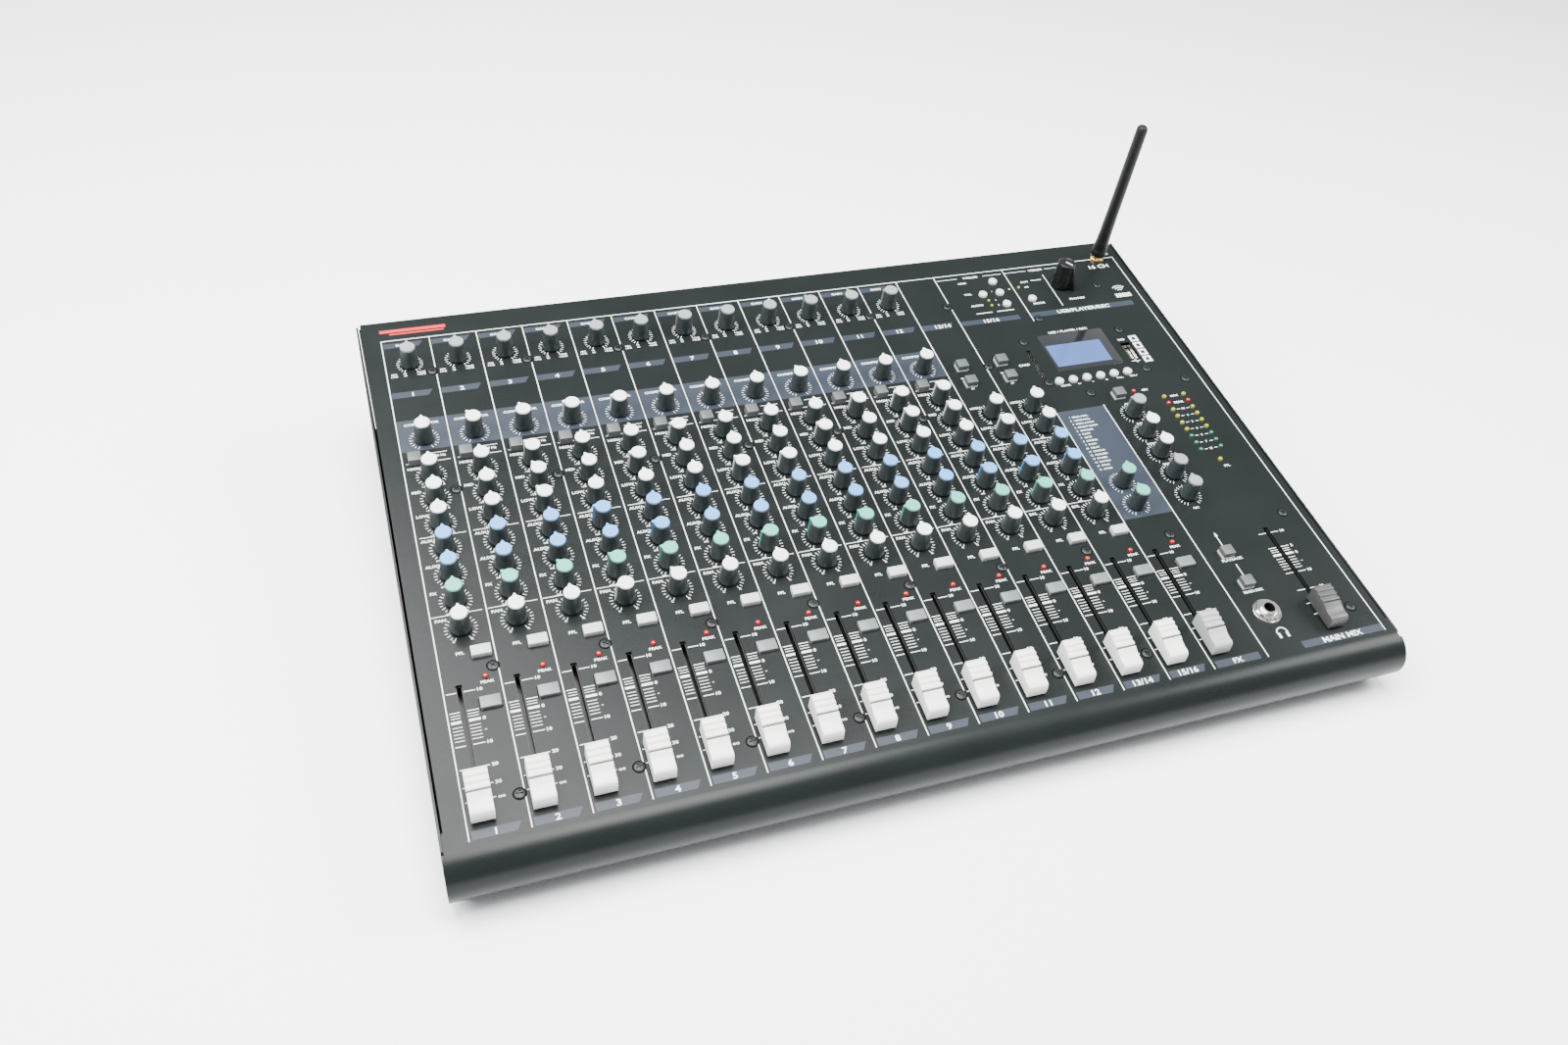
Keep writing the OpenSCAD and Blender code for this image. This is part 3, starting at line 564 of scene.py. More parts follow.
random.seed(11)
screw_spots = []
for i in range(1, ALL_STRIPS, 2):
    off = 4.6 if i > STRIPS else 2.4
    for y in (127.5, 247.3, 320.4):
        if not (i > STRIPS and y < 200):
            screw_spots.append((i * PITCH - off, y))
    screw_spots.append((i * PITCH - 2.2, 30.8))
screw_spots += [(399.5, 73.6), (399.6, 113), (423, 127.2), (471.8, 73.8), (472, 113), (494, 127),
                (415, 247), (494, 246.9), (493.9, 319.4), (420.7, 53.2), (478.6, 27.1), (366.2, 91)]
small_head = screw_head(2.7, 0.66)
small_head.data.materials[0] = SCREW
# A flat dark ring under each head: painted shadow where the head meets the sheet.
seat = Form().spun([(2.6, -0.02), (3.35, -0.02), (3.3, 0.1), (2.6, 0.1)], 32, ring=True)
seat = seat.build("seat", [SHADOW], None)
screws = repeat("panel_screw_heads", small_head,
                [(x, y, random.uniform(0, 90)) for x, y in screw_spots], SCREW)
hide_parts("panel_screws")
shadow_rings = repeat("panel_screw_seats", seat, screw_spots, SHADOW)
scrap(small_head, seat)
print("panel screws:", len(screw_spots))

# %% [markdown]
# ## Knobs
# Each knob is a dark tapered body with a coloured insert: a flat cap, a small nose that shows
# the setting, and a thin rib down the side under the nose. The insert is moulded through the
# body, so cap and rib are one piece. Most players leave most knobs near the middle.

# %% Knobs


def knob_body():
    profile = [(0, 0.8), (4.9, 0.8), (5.35, 1.05), (5.4, 1.7), (5.15, 3.2), (4.85, 7.5), (4.5, 12.4),
               (4.35, 13.0), (4.05, 13.15), (0, 13.15)]
    return Form().spun(profile, 28).build("body", [KNOB], None)


def knob_insert():
    outline = [(0.3, 5.7), (-0.3, 5.7), (-0.7, 5.0), (-1.2, 4.05)]
    for i in range(1, 22):
        a = radians(106 + 328 * i / 22)
        outline.append((4.22 * cos(a), 4.22 * sin(a)))
    outline += [(1.2, 4.05), (0.7, 5.0)]
    rows = ((1.0, 12.9), (1.0, 13.75), (0.955, 14.0))
    form = Form().loft([[(x * s, y * s, z) for x, y in outline] for s, z in rows])
    rib = ((4.2, 1.6), (5.75, 1.6), (5.5, 12.95), (4.0, 12.95))
    form.loft([[(x, y, z) for y, z in rib] for x in (-0.38, 0.38)])
    return form.build("insert", [CAP_WHITE], None)


KNOB_X, MASTER_X, EFFECTS_X = 14, 442, 406
GAIN_Y, COMPRESSOR_Y = 22.5, 86.0
body_shape, insert_shape = knob_body(), knob_insert()
rows = [114.7 + 17.8 * k for k in range(7)]
groups = {"grey": [], "white": [], "blue": [], "teal": []}
for i in range(1, ALL_STRIPS):
    x = i * PITCH + KNOB_X
    if i < STRIPS:
        groups["grey"].append((x, GAIN_Y))
        groups["white"] += [(x, COMPRESSOR_Y), (x, rows[0])]
    groups["white"] += [(x, rows[1]), (x, rows[2]), (x, rows[6])]
    groups["blue"] += [(x, rows[3]), (x, rows[4])]
    groups["teal"].append((x, rows[5]))
groups["grey"] += [(MASTER_X, rows[k]) for k in (2, 5, 6)]
groups["white"] += [(MASTER_X, rows[k]) for k in (3, 4)]
groups["teal"] += [(EFFECTS_X, rows[k]) for k in (5, 6)]
dial = random.Random(5)


def setting(colour):
    loose = {"grey": 0.25, "white": 0.3, "blue": 0.45, "teal": 0.55}[colour]
    return dial.uniform(20, 100) if dial.random() < loose else dial.gauss(4, 7)


caps = {"grey": CAP_GREY, "white": CAP_WHITE, "blue": CAP_BLUE, "teal": CAP_TEAL}
for colour, places in groups.items():
    spots = [(x, y, setting(colour)) for x, y in places]
    bodies = repeat(colour + "_knob_bodies", body_shape, spots, KNOB)
    inserts = repeat(colour + "_knob_inserts", insert_shape, spots, caps[colour])
    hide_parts(colour + "_knobs")
first_strip = {"gain": (GAIN_Y, "grey"), "compressor": (COMPRESSOR_Y, "white"),
               "high": (rows[0], "white"),
               "mid": (rows[1], "white"), "low": (rows[2], "white"), "aux1": (rows[3], "blue"),
               "aux2": (rows[4], "blue"), "effects": (rows[5], "teal"), "pan": (rows[6], "white")}
for name, (y, colour) in first_strip.items():
    spots = [(KNOB_X, y, 0)]
    made = repeat(f"{name}_1_body", body_shape, spots, KNOB, f"{name}_1")
    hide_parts(f"{name}_knob_1")
    repeat(f"{name}_1_insert", insert_shape, spots, caps[colour], f"{name}_1")
scrap(body_shape, insert_shape)
print("small knobs:", sum(map(len, groups.values())) + len(first_strip))

# %% [markdown]
# ## Volume knob
# The headphone level has a taller knob in one piece, with fine flutes for grip, a dished top and
# a wing that points at the setting.

# %% Volume knob
VOLUME_SPOT, VOLUME_TURN = (452, 22), -52
profile = [(7.2, 0.8), (7.4, 1.1), (7.3, 2.4), (6.6, 9.0), (6.1, 16.5), (5.95, 18.4), (5.55, 19.0),
           (5.0, 19.1), (4.4, 18.75)]
steps, rings = 72, []
for r, z in profile:
    depths = [0.16 if (i % 3 == 0 and 2 < z < 17) else 0 for i in range(steps)]
    angles = [2 * pi * i / steps for i in range(steps)]
    rings.append([((r - d) * cos(a), (r - d) * sin(a), z) for d, a in zip(depths, angles)])
form = Form().loft(rings, at(*VOLUME_SPOT))
wing = at(*VOLUME_SPOT, 0, VOLUME_TURN) @ Matrix.Rotation(pi / 2, 4, "X")
form.prism([(4, 0.8), (10.9, 0.8), (10.6, 2.2), (8.1, 9.5), (6.4, 17.4), (5.4, 17.9), (4, 17.9)],
           -1.25, 1.25, wing)
knob = form.build("volume_knob_body", [VOLUME], "volume", bevel=0.25)
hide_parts("volume_knob")
line = Form().block((5.2, 0.9), 18.72, 18.86, at(*VOLUME_SPOT, 0, VOLUME_TURN), centre=(1.6, 0))
line.build("volume_knob_line", [INK], "volume")
print("volume knob", len(knob.data.polygons), "faces")

# %% [markdown]
# ## Fader caps
# A fader cap is moulded to fit a fingertip: the rear half has three soft ridges, a dark groove
# marks the level, and the front half is dished and rises to a rounded front edge. The steel
# lever under it runs in the slot.

# %% Fader caps
FADER_X, FADER_LOW, MAIN_FADER = 7.7, 319.5, 468.3
EFFECTS_STRIP = 14


def cap_profile():
    points = [(-11.25, 1.0), (-11.12, 4.2), (-10.9, 6.4), (-10.45, 7.6), (-9.6, 8.25), (-8.4, 8.45),
              (-6.8, 8.3), (-5.2, 8.35), (-3.6, 8.8), (-2.0, 9.5), (-0.55, 10.35), (-0.5, 9.6), (0.5, 9.6),
              (0.55, 10.55)]
    for k in range(3):
        base, rise = 0.75 + 3.15 * k, 0.42 * k
        for dy, dh in ((0.35, 10.85), (1.1, 10.9), (1.8, 10.6), (2.35, 10.3), (2.8, 10.45)):
            points.append((base + dy, dh + rise))
    points += [(10.5, 11.95), (10.9, 11.6), (11.15, 10.8), (11.25, 9.6), (11.25, 1.0)]
    return points


def fader_cap(name, x, body, mat):
    spot = at(x + FADER_X, FADER_LOW)
    stand = spot @ Matrix.Rotation(pi / 2, 4, "Z") @ Matrix.Rotation(pi / 2, 4, "X")
    form = Form().prism(cap_profile(), -5.5, 5.5, stand)
    cap = form.build(name, [mat], body, sharp=30, bevel=0.35, steps=3)
    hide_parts(body.replace("fader_", "fader_cap_"))
    groove = Form().block((11.04, 0.9), 9.45, 9.75, spot)
    groove.build(name + "_line", [GROOVE], body)
    lever = Form().block((1.4, 5), -7, 1.6, spot)
    lever.build(name + "_lever", [STEEL], body, bevel=0.15)


names = [str(i + 1) for i in range(STRIPS)] + ["13_14", "15_16"]
for i, name in enumerate(names):
    fader_cap(f"fader_{name}_moulding", i * PITCH, f"fader_{name}", FADER_WHITE)
fader_cap("fader_effects_moulding", EFFECTS_STRIP * PITCH, "fader_effects", FADER_GREY)
fader_cap("fader_main_moulding", MAIN_FADER, "fader_main", FADER_DARK)
print("fader caps:", len(names) + 2)

# %% [markdown]
# ## Keys
# The keys are small injection mouldings with rounded edges. The mute keys are frosted so that a
# lamp can shine through them, the square ones stand on a paler skirt, and the player's keys are
# smooth white domes. A narrow stem under each moulding reaches down to its switch.

# %% Keys
KEY_FOOT, STEM_TOP, STEM_FOOT, STEM_WIDE = -0.95, -0.9, -5, 3.4


def soft_block(width, length, high, r=0.5):
    key = Form().prism(rounded(width, length, r, 3), KEY_FOOT, high)
    key.block((STEM_WIDE, STEM_WIDE), STEM_FOOT, STEM_TOP)
    return key.build("key", [KEY_GREY], None, bevel=0.4)


def keys(name, part, spots, mat, body, node=None):
    made = repeat(name, part, spots, mat, body)
    if node:
        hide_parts(node)
    return made


low_cut = [(i * PITCH + 6.8, 102) for i in range(STRIPS)]
squares = [(i * PITCH + 11.6, y) for i in STEREO for y in (89, 104)]
squares += [(440, 133), (440.8, 268), (440.8, 290.6)]
cube = soft_block(7.2, 6.8, 4.6)
keys("low_cut_key_tops", cube, low_cut, KEY_GREY, "low_cut_keys", "low_cut_keys")
pfl = soft_block(10, 6, 3.0)
keys("pfl_key_tops", pfl, [(i * PITCH + 21.3, 238) for i in range(ALL_STRIPS)], KEY_LIGHT, "pfl_keys",
     "pfl_keys")
mute = soft_block(10.2, 6.6, 2.2)
keys("mute_key_tops", mute, [(i * PITCH + 21, 268.4) for i in range(ALL_STRIPS + 1)], KEY_FROST,
     "mute_keys", "mute_keys")
keys("square_key_tops", cube, squares, KEY_GREY, "square_keys", "square_keys")
skirt = soft_block(7.6, 7.0, 1.3)
keys("square_key_skirts", skirt, squares, KEY_LIGHT, "square_keys")
keys("low_cut_key_skirts", skirt, low_cut, KEY_GREY, "low_cut_keys")
dome = Form().spun([(0, -1), (2.9, -1), (2.9, 1.05)] + [
    (2.9 * cos(radians(a)), 1.05 + 1.2 * sin(radians(a))) for a in (15, 32, 50, 68)
] + [(0, 2.25)], 28).build("dome", [DOME], None, sharp=60)
keys("player_key_domes", dome, [(406.9 + 10.08 * i, 113.6) for i in range(6)], DOME, "player_keys",
     "player_keys")
wireless = [(404.4, 11.4), (391.8, 23.2), (404.6, 23.2), (404.6, 35.2), (425, 33.2)]
keys("wireless_key_domes", dome, wireless, DOME, "wireless_keys", "wireless_keys")
scrap(cube, pfl, mute, skirt, dome)
print("key sets: 6")

# %% [markdown]
# ## Lamps
# The lamps are 3 mm and smaller light diodes pushed through the sheet from the board. The lens is
# dyed epoxy: clear enough to look wet, dark enough to tell its colour when it is off.

# %% Lamps
lens = Form().spun([(0, -4), (1.45, -4), (1.45, 0.5), (1.33, 1.05), (1.0, 1.48), (0.55, 1.7),
                    (0, 1.78)], 20)
lens = lens.build("lens", [RED_LENS], None, sharp=70)
tiny = Form().spun([(0, -4), (1.0, -4), (1.0, 0.5), (0.85, 0.9), (0.5, 1.15), (0, 1.25)], 16)
tiny = tiny.build("tiny_lens", [AMBER_LENS], None, sharp=70)
METER_TOP, METER_STEP, METER_ROWS = 140.5, 6, 9
meter = [(x, METER_TOP + METER_STEP * k) for k in range(METER_ROWS) for x in (470.2, 484.7)]
red = [(i * PITCH + 21, 252.8) for i in range(ALL_STRIPS + 1)] + meter[2:4] + [(452.2, 131.7)]
yellow, green = meter[:2] + meter[4:12] + [(478.4, 198.6)], meter[12:]
link = [(420.3, 20.3), (393.2, 29.8), (393.3, 35)]
lamps = repeat("red_lamps", lens, red, RED_LENS)
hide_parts("status_lights")
repeat("yellow_lamps", lens, yellow, AMBER_LENS)
repeat("green_lamps", lens, green, GREEN_LENS)
repeat("wireless_lamps", tiny, link, AMBER_LENS)
scrap(lens, tiny)
print("lamps:", len(red + yellow + green + link))

# %% [markdown]
# ## Display
# The player's display sits flush in the panel: a glossy black cover with the blue liquid crystal
# behind it. It is switched off, so only its polariser shows, and the cover mirrors the aerial
# beside it.

# %% Display
screen_spot = at(432.6, 90.6)
cover = Form().prism(rounded(48.6, 35, 1.2), -11, 0.2, at(435, 87.5))
cover = cover.build("display_cover", [GLASS_BLACK], bevel=0.12)
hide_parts("display_bezel")
glass = Form().prism(rounded(40.4, 20.4, 0.4), -4.5, 0.24, screen_spot)
glass = glass.build("display_glass", [LCD])
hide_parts("display_screen")
trim = Form()
for size, centre in (((41.2, 0.5), (0, 10.45)), ((41.2, 0.5), (0, -10.45)),
                     ((0.5, 21.4), (20.4, 0)), ((0.5, 21.4), (-20.4, 0))):
    trim.block(size, 0.0, 0.26, screen_spot, centre=centre)
trim.build("display_frame_line", [GLASS_BLACK])
contacts = Form()
for k in range(4):
    contacts.block((0.12, 1.3), -9, -4.6, at(469.2, 95.6), centre=(0.05, -4.2 + 2.8 * k))
contacts.build("usb_contacts", [GOLD])
print("display and media contacts")

# %% [markdown]
# ## Headphone socket
# A quarter-inch jack has a threaded bush with a chamfered hexagon nut over a washer. The nut is
# nickel on brass, bright enough to mirror the light tent, and the bore is black inside.

# %% Headphone socket


def jack_front(form, place, r_nut=8.0, steps=48):
    """A washer, a chamfered hexagon nut and the end of a threaded bush."""
    washer = [(5.3, 0.01), (8.3, 0.01), (8.3, 0.3), (8.1, 0.45), (5.3, 0.45)]
    form.spun(washer, 36, place, ring=True)
    flat = r_nut * cos(pi / 6)
    rings = []
    for z, limit in ((0.45, r_nut), (1.75, r_nut), (2.45, flat * 0.97)):
        ring = []
        for i in range(steps):
            a = 2 * pi * i / steps
            near = (a + pi / 6) % (pi / 3) - pi / 6
            edge = flat / cos(pi / 6 - abs(near)) if abs(near) else r_nut
            edge = min(edge, r_nut, limit)
            ring.append((edge * cos(a), edge * sin(a), z))
        rings.append(ring)
    rings += [[(x, y, z) for x, y in ring_points(5.0, steps)] for z in (2.45, 0.45)]
    form.loft(rings, place, closed=True)
    thread = [(3.25, 4.0), (3.25, -2), (4.6, -2)]
    for k in range(5):
        thread += [(4.6, 2.2 + 0.36 * k), (4.95, 2.38 + 0.36 * k)]
    form.spun(thread + [(4.6, 4.0)], 40, place, ring=True)


phones_spot = at(442.6, 310.9)
form = Form()
jack_front(form, phones_spot)
jack = form.build("phones_nut", [NICKEL], sharp=25)
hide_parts("phones_jack")
form = Form().spun([(3.2, 3.6), (3.2, -20), (7, -20), (7, -1.6), (4.4, -1.6), (4.4, -2.2), (3.6, -2.2),
                    (3.6, 3.6)], 32, phones_spot, ring=True)
form.spun([(0, -20.4), (6.5, -20.4), (6.5, -19.9), (0, -19.9)], 24, phones_spot)
form.build("phones_lining", [SOCKET])
print("headphone socket")

# %% [markdown]
# ## Aerial
# The aerial is a rubber-moulded whip on a gold-plated coaxial fitting. The moulding flares at the
# foot, has three shallow rings above it and ends in a round tip.

# %% Aerial
place = at(492.3, -0.6)
profile = [(0, 3.3), (4.2, 3.3), (4.9, 3.9), (5.2, 4.9), (5.2, 9.0)]
for k in range(3):
    r, z = 4.95 - 0.12 * k, 9.3 + 1.5 * k
    profile += [(r, z), (r, z + 0.6), (r + 0.1, z + 0.9)]
profile += [(4.55, 14.5), (4.3, 22), (4.0, 43), (3.85, 75), (3.7, 104.3), (3.45, 106.1), (2.7, 107.2),
            (1.4, 107.8), (0, 107.8)]
whip = Form().spun(profile, 32, place).build("aerial_whip", [RUBBER], sharp=50)
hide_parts("antenna_whip")
form = Form().spun([(0, -6), (3.1, -6), (3.1, 0.01), (0, 0.01)], 24, place)
form.prism(ring_points(5.4, 6), 0.02, 1.5, place)
knurl = []
for i in range(72):
    r = 4.35 if i % 2 else 4.1
    knurl.append((r * cos(pi * i / 36), r * sin(pi * i / 36)))
form.prism(knurl, 1.5, 3.1, place)
fitting = form.build("aerial_fitting", [GOLD], bevel=0.12, steps=1)
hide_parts("antenna_socket")
print("aerial")

# %% [markdown]
# ## Screen print
# The legends are silk-screened in a thick white ink over slate tags. Each line, tag and letter is
# a thin closed solid sunk a hair into the paint, so that it is as real as the rest and can't
# flicker against it.

# %% Lines and tags
INK_LOW, INK_HIGH = -0.03, 0.05
ink, slate = Form(), Form()


def bar(form, x0, y0, x1, y1, high=INK_HIGH):
    form.prism([(x0, -y1), (x1, -y1), (x1, -y0), (x0, -y0)], INK_LOW, high, PANEL)


def tag(x0, x1, y0, y1, slant):
    slate.prism([(x0, -y1), (x1 - slant, -y1), (x1, -y0), (x0, -y0)], INK_LOW, 0.03, PANEL)


def stroke(form, points, width):
    """A printed line through the points, in short closed pieces."""
    for (xa, ya), (xb, yb) in zip(points, points[1:]):
        along = Vector((xb - xa, yb - ya, 0)).normalized() * width / 2
        across = Vector((-along.y, along.x, 0))
        a, b = Vector((xa, ya, 0)) - along * 0.4, Vector((xb, yb, 0)) + along * 0.4
        quad = [a - across, b - across, b + across, a + across]
        form.prism([(q.x, -q.y) for q in quad][::-1], INK_LOW, INK_HIGH, PANEL)


LINE, LINE_END, RIGHT_EDGE = 0.28, 338.6, 504.8


def upright(x, y0, y1):
    """A thin white line down the panel."""
    bar(ink, x - LINE, y0, x + LINE, y1)


bar(ink, -LINE, -LINE, RIGHT_EDGE + LINE, LINE)
for i in range(ALL_STRIPS):
    if i % 2:
        upright(i * PITCH, LINE, 27.6)
        upright(i * PITCH, 34.0, LINE_END)
    else:
        upright(i * PITCH, LINE, LINE_END)
for x, y0, y1 in ((RIGHT_EDGE, LINE, LINE_END), (EFFECTS_STRIP * PITCH, 140, LINE_END),
                  (426.3, 139, LINE_END), (416.2, LINE, 55), (443.8, 10, 43.3)):
    upright(x, y0, y1)
for x0, x1 in ((365, 380.3), (399.8, 413.9), (416.4, 433.2), (447.9, 457.2)):
    bar(ink, x0, 3.9, x1, 4.3)
for i in range(ALL_STRIPS):
    x = i * PITCH
    mono = i < STRIPS
    if mono:
        tag(x + 0.9, x + 23.9, 2.5, 6.9, 2.8)
        tag(x + 0.7, x + 24, 45.8, 50.6, 2.6)
        tag(x + 0.7, x + 27.4, 69.6, 94.4, 0)
        bar(ink, x + 14, 97.35, x + 24.7, 97.7)
    for y in ((103.8, 158.7, 212) if mono else (158.7, 212)):
        bar(ink, x + (1.9 if y < 200 else 0.7), y - 0.2, x + 26, y + 0.2)
    tag(x + 1.4, x + 24, 333.8, 338.3, 2.5)
for edges in ((336.8, 359, 46.2, 51.3, 2.2), (365, 408, 46.9, 51.3, 0), (417, 496, 46.6, 51.4, 0),
              (392.4, 425.9, 139.5, 231, 0), (394, 422, 334, LINE_END, 0),
              (450.4, 504, 334, LINE_END, 0)):
    tag(*edges)
fader_strips = [i * PITCH for i in range(ALL_STRIPS + 1)] + [MAIN_FADER]
for s in fader_strips:
    offsets = (0.8, 6.0, 9.4, 14.6) if s == MAIN_FADER else (1.2, 6.0, 9.5, 15.1)
    left, near, far, end = (s + offset for offset in offsets)
    for y in (259.3, 270.5, 289.5, 302, 311.6, 319.2):
        bar(ink, left, y - 0.22, near, y + 0.22)
        bar(ink, far, y - 0.22, end, y + 0.22)
    for y in (272.2, 273.7, 278.9, 280.8, 282.7, 284.6, 286.5):
        bar(ink, left + 0.3, y - 0.16, near, y + 0.16)
        bar(ink, far, y - 0.16, end - 0.5, y + 0.16)
    bar(ink, left, 275.3, near, 276.7)
    bar(ink, far, 275.3, end, 276.7)
for x0, y0, x1, y1 in ((442.4, 254, 442.4, 264.2), (443, 276.4, 443, 286.6)):
    stroke(ink, [(x0, y0), (x1, y1)], 0.6)
ink.prism([(441.5, -254.6), (443.5, -254.6), (442.5, -251.6)], INK_LOW, INK_HIGH, PANEL)


def arc(x, y, r, start, end, step):
    angles = [radians(a) for a in range(start, end, step)]
    return [(x + r * cos(a), y - r * sin(a)) for a in angles]


stroke(ink, arc(443.4, 326, 3.3, -30, 211, 20), 0.7)
for side in (-1, 1):
    stroke(ink, [(443.4 + side * 2.6, 326.2), (443.4 + side * 2.6, 329)], 1.5)
for k in range(2, METER_ROWS):
    y = METER_TOP + METER_STEP * k
    stroke(ink, [(473.2, y), (475.3, y)], 0.4)
    stroke(ink, [(480.3, y), (482.4, y)], 0.4)
for x0, x1, y in ((379.3, 391.2, 41.2), (394.6, 407.4, 41.2), (432.4, 440.4, 14.6)):
    bar(ink, x0, y - 0.35, x1, y + 0.35)
for k in range(5):
    bar(ink, 487 + 2.5 * k, 38.6, 488.9 + 2.5 * k, 42.4)
for k in range(3):
    stroke(ink, arc(492.8, 36.6, 2 + 2 * k, 45, 136, 15), 0.8)
for k in range(4):
    bar(ink, 474.6, 81.2 + 6.8 * k, 480.6, 86.8 + 6.8 * k)
    bar(slate, 476.2, 82.6 + 6.8 * k, 479, 85.4 + 6.8 * k, 0.07)
stroke(ink, [(465.4, 104.8), (471.8, 104.8)], 0.4)
stroke(ink, [(467, 104.8), (468, 103.8), (469.2, 103.8)], 0.35)
stroke(ink, [(468, 104.8), (469, 105.9), (470.2, 105.9)], 0.35)
red_form = Form()
bar(red_form, 0, -9.9, 38.9, -7.2)
bar(red_form, 5.6, -6.2, 37.6, -5.0)
ink.build("white_lines", [INK])
slate.build("slate_tags", [SLATE])
red_form.build("red_stripe", [RED_INK])
print("printed lines:", len(ink.faces) // 6, "tags:", len(slate.faces) // 6)

# %% Dial marks
MARKS = 21
centres = [(KNOB_X + i * PITCH, y) for i in range(STRIPS) for y in [COMPRESSOR_Y] + rows]
centres += [(KNOB_X + i * PITCH, y) for i in STEREO for y in rows[1:]]
centres += [(MASTER_X, y) for y in rows[2:]] + [(EFFECTS_X, y) for y in rows[5:]]
gains = [(KNOB_X + i * PITCH, GAIN_Y) for i in range(STRIPS)]
marks = {"Count": MARKS, "Radius": 8.4 * MM, "Sweep": radians(300), "Long": 2.0 * MM,
         "Short": 1.45 * MM, "Width": 0.36 * MM, "Thickness": 0.1 * MM, "Finish": INK}
dials = grow("dial_marks", DIALS, centres, marks, smooth=False)
marks["Radius"] = 7.7 * MM
gain_dials = grow("gain_dial_marks", DIALS, gains, marks, smooth=False)
print("dial marks:", MARKS * len(centres + gains))

# %% [markdown]
# ## Lettering
# The legends use a wide bold face so that they can be read in a dark hall. Each word is set once
# as a curve, turned into a mesh, welded into a closed solid and kept for the strips that reuse it.

# %% Lettering
word_store = {}


LETTER_DEPTH, LETTER_WEIGHT = 0.04, 0.022
LETTER_MIDDLE, LETTER_HALF = 0.01, 0.045


def flat_text(text, weight):
    """A text as a closed solid of unit size: its points, and its faces as lists of point numbers."""
    curve = bpy.data.curves.new("word", "FONT")
    curve.body = text
    curve.extrude = LETTER_DEPTH
    curve.offset = weight
    curve.resolution_u = 2
    obj = new_object("word", curve)
    graph = bpy.context.evaluated_depsgraph_get()
    mesh = bpy.data.meshes.new_from_object(obj.evaluated_get(graph))
    scrap(obj)
    work = bmesh.new()
    work.from_mesh(mesh)
    bmesh.ops.remove_doubles(work, verts=work.verts, dist=1e-5)
    points = [v.co.copy() for v in work.verts]
    faces = [[v.index for v in f.verts] for f in work.faces]
    work.free()
    bpy.data.meshes.remove(mesh)
    return points, faces


capital = [p.y for p in flat_text("H", 0.0)[0]]
CAP_HIGH = max(capital) - min(capital)


def word(text, high, wide=1.22):
    key = (text, high, wide)
    if key not in word_store:
        points, faces = flat_text(text, LETTER_WEIGHT)
        x0, x1 = min(p.x for p in points), max(p.x for p in points)
        y0, y1 = min(p.y for p in points), max(p.y for p in points)
        scale = high / CAP_HIGH
        mid = CAP_HIGH / 2 if any(c.isalnum() for c in text) else (y0 + y1) / 2
        verts = [((p.x - x0) * scale * wide, (p.y - mid) * scale,
                  LETTER_MIDDLE + p.z / LETTER_DEPTH * LETTER_HALF) for p in points]
        word_store[key] = (verts, faces, (x1 - x0) * scale * wide)
    return word_store[key]


def write(form, text, x, y, high, side="centre", wide=1.22, place=None):
    verts, faces, width = word(text, high, wide)
    shift = {"centre": -width / 2, "left": 0, "right": -width}[side]
    spot = place if place is not None else at(x, y)
    form.add(verts, faces, spot @ Matrix.Translation((shift * MM, 0, 0)))


letters, numbers, tiny_print = Form(), Form(), Form()
ends = {"PAN": ("L", "R"), "BAL": ("L", "R"), "AUX1": ("oo", "10"), "AUX2": ("oo", "10"),
        "FX": ("oo", "10")}
for i in range(ALL_STRIPS):
    x = i * PITCH
    mono = i < STRIPS
    name = str(i + 1) if mono else ("13/14" if i == STRIPS else "15/16")
    labels = ["HIGH", "MID", "LOW", "AUX1", "AUX2", "FX", "PAN"]
    if not mono:
        labels = ["", "HIGH", "LOW", "AUX1", "AUX2", "FX", "BAL"]
    for label, y in zip(labels, rows):
        if label:
            write(letters, label, x + 2.1, y - 6.8, 1.75, "left", 1.15)
            left, right = ends.get(label, ("-15", "+15"))
            write(tiny_print, left, x + 9.4, y + 7.4, 1.3)
            write(tiny_print, right, x + 18.6, y + 7.4, 1.3)
    write(letters, "PFL", x + 9.2, 236.6, 1.7, "left", 1.15)
    write(letters, "PEAK", x + 21.5, 255.9, 1.5, wide=1.3)
    write(numbers, name, x + (12.3 if mono else 12.6), 336.1, 3.2, wide=1.2)
    if mono:
        write(letters, "GAIN", x + 11.5, 4.8, 1.7, wide=1.25)
        write(letters, "COMPRESSOR", x + 14, 73.4, 1.7, wide=1.24)
        write(letters, "100 Hz", x + 20.4, 100, 1.6, wide=1.05)
        write(numbers, name, x + 12.6, 48.3, 3.0, wide=1.25)
        for dx, a, b in ((4.2, "MIC", "LINE"), (10.4, "10", "40"), (19.6, "+60dB", "+20dB")):
            write(tiny_print, a, x + dx, 30.3, 1.15, wide=1.15)
            write(tiny_print, b, x + dx, 32.2, 1.15, wide=1.15)
    else:
        for label, y in (("LINE", 84.2), ("PLAYER", 98.8), ("ST", 108.8)):
            write(tiny_print, label, x + 11.6, y, 1.3)
for s in fader_strips:
    for label, y in (("10", 259.3), ("5", 270.8), ("0", 276), ("-", 282.6), ("10", 289.5), ("20", 302),
                     ("30", 311.6), ("oo", 319.2)):
        write(numbers, label, s + 16.0, y, 1.75, "left", 1.2)
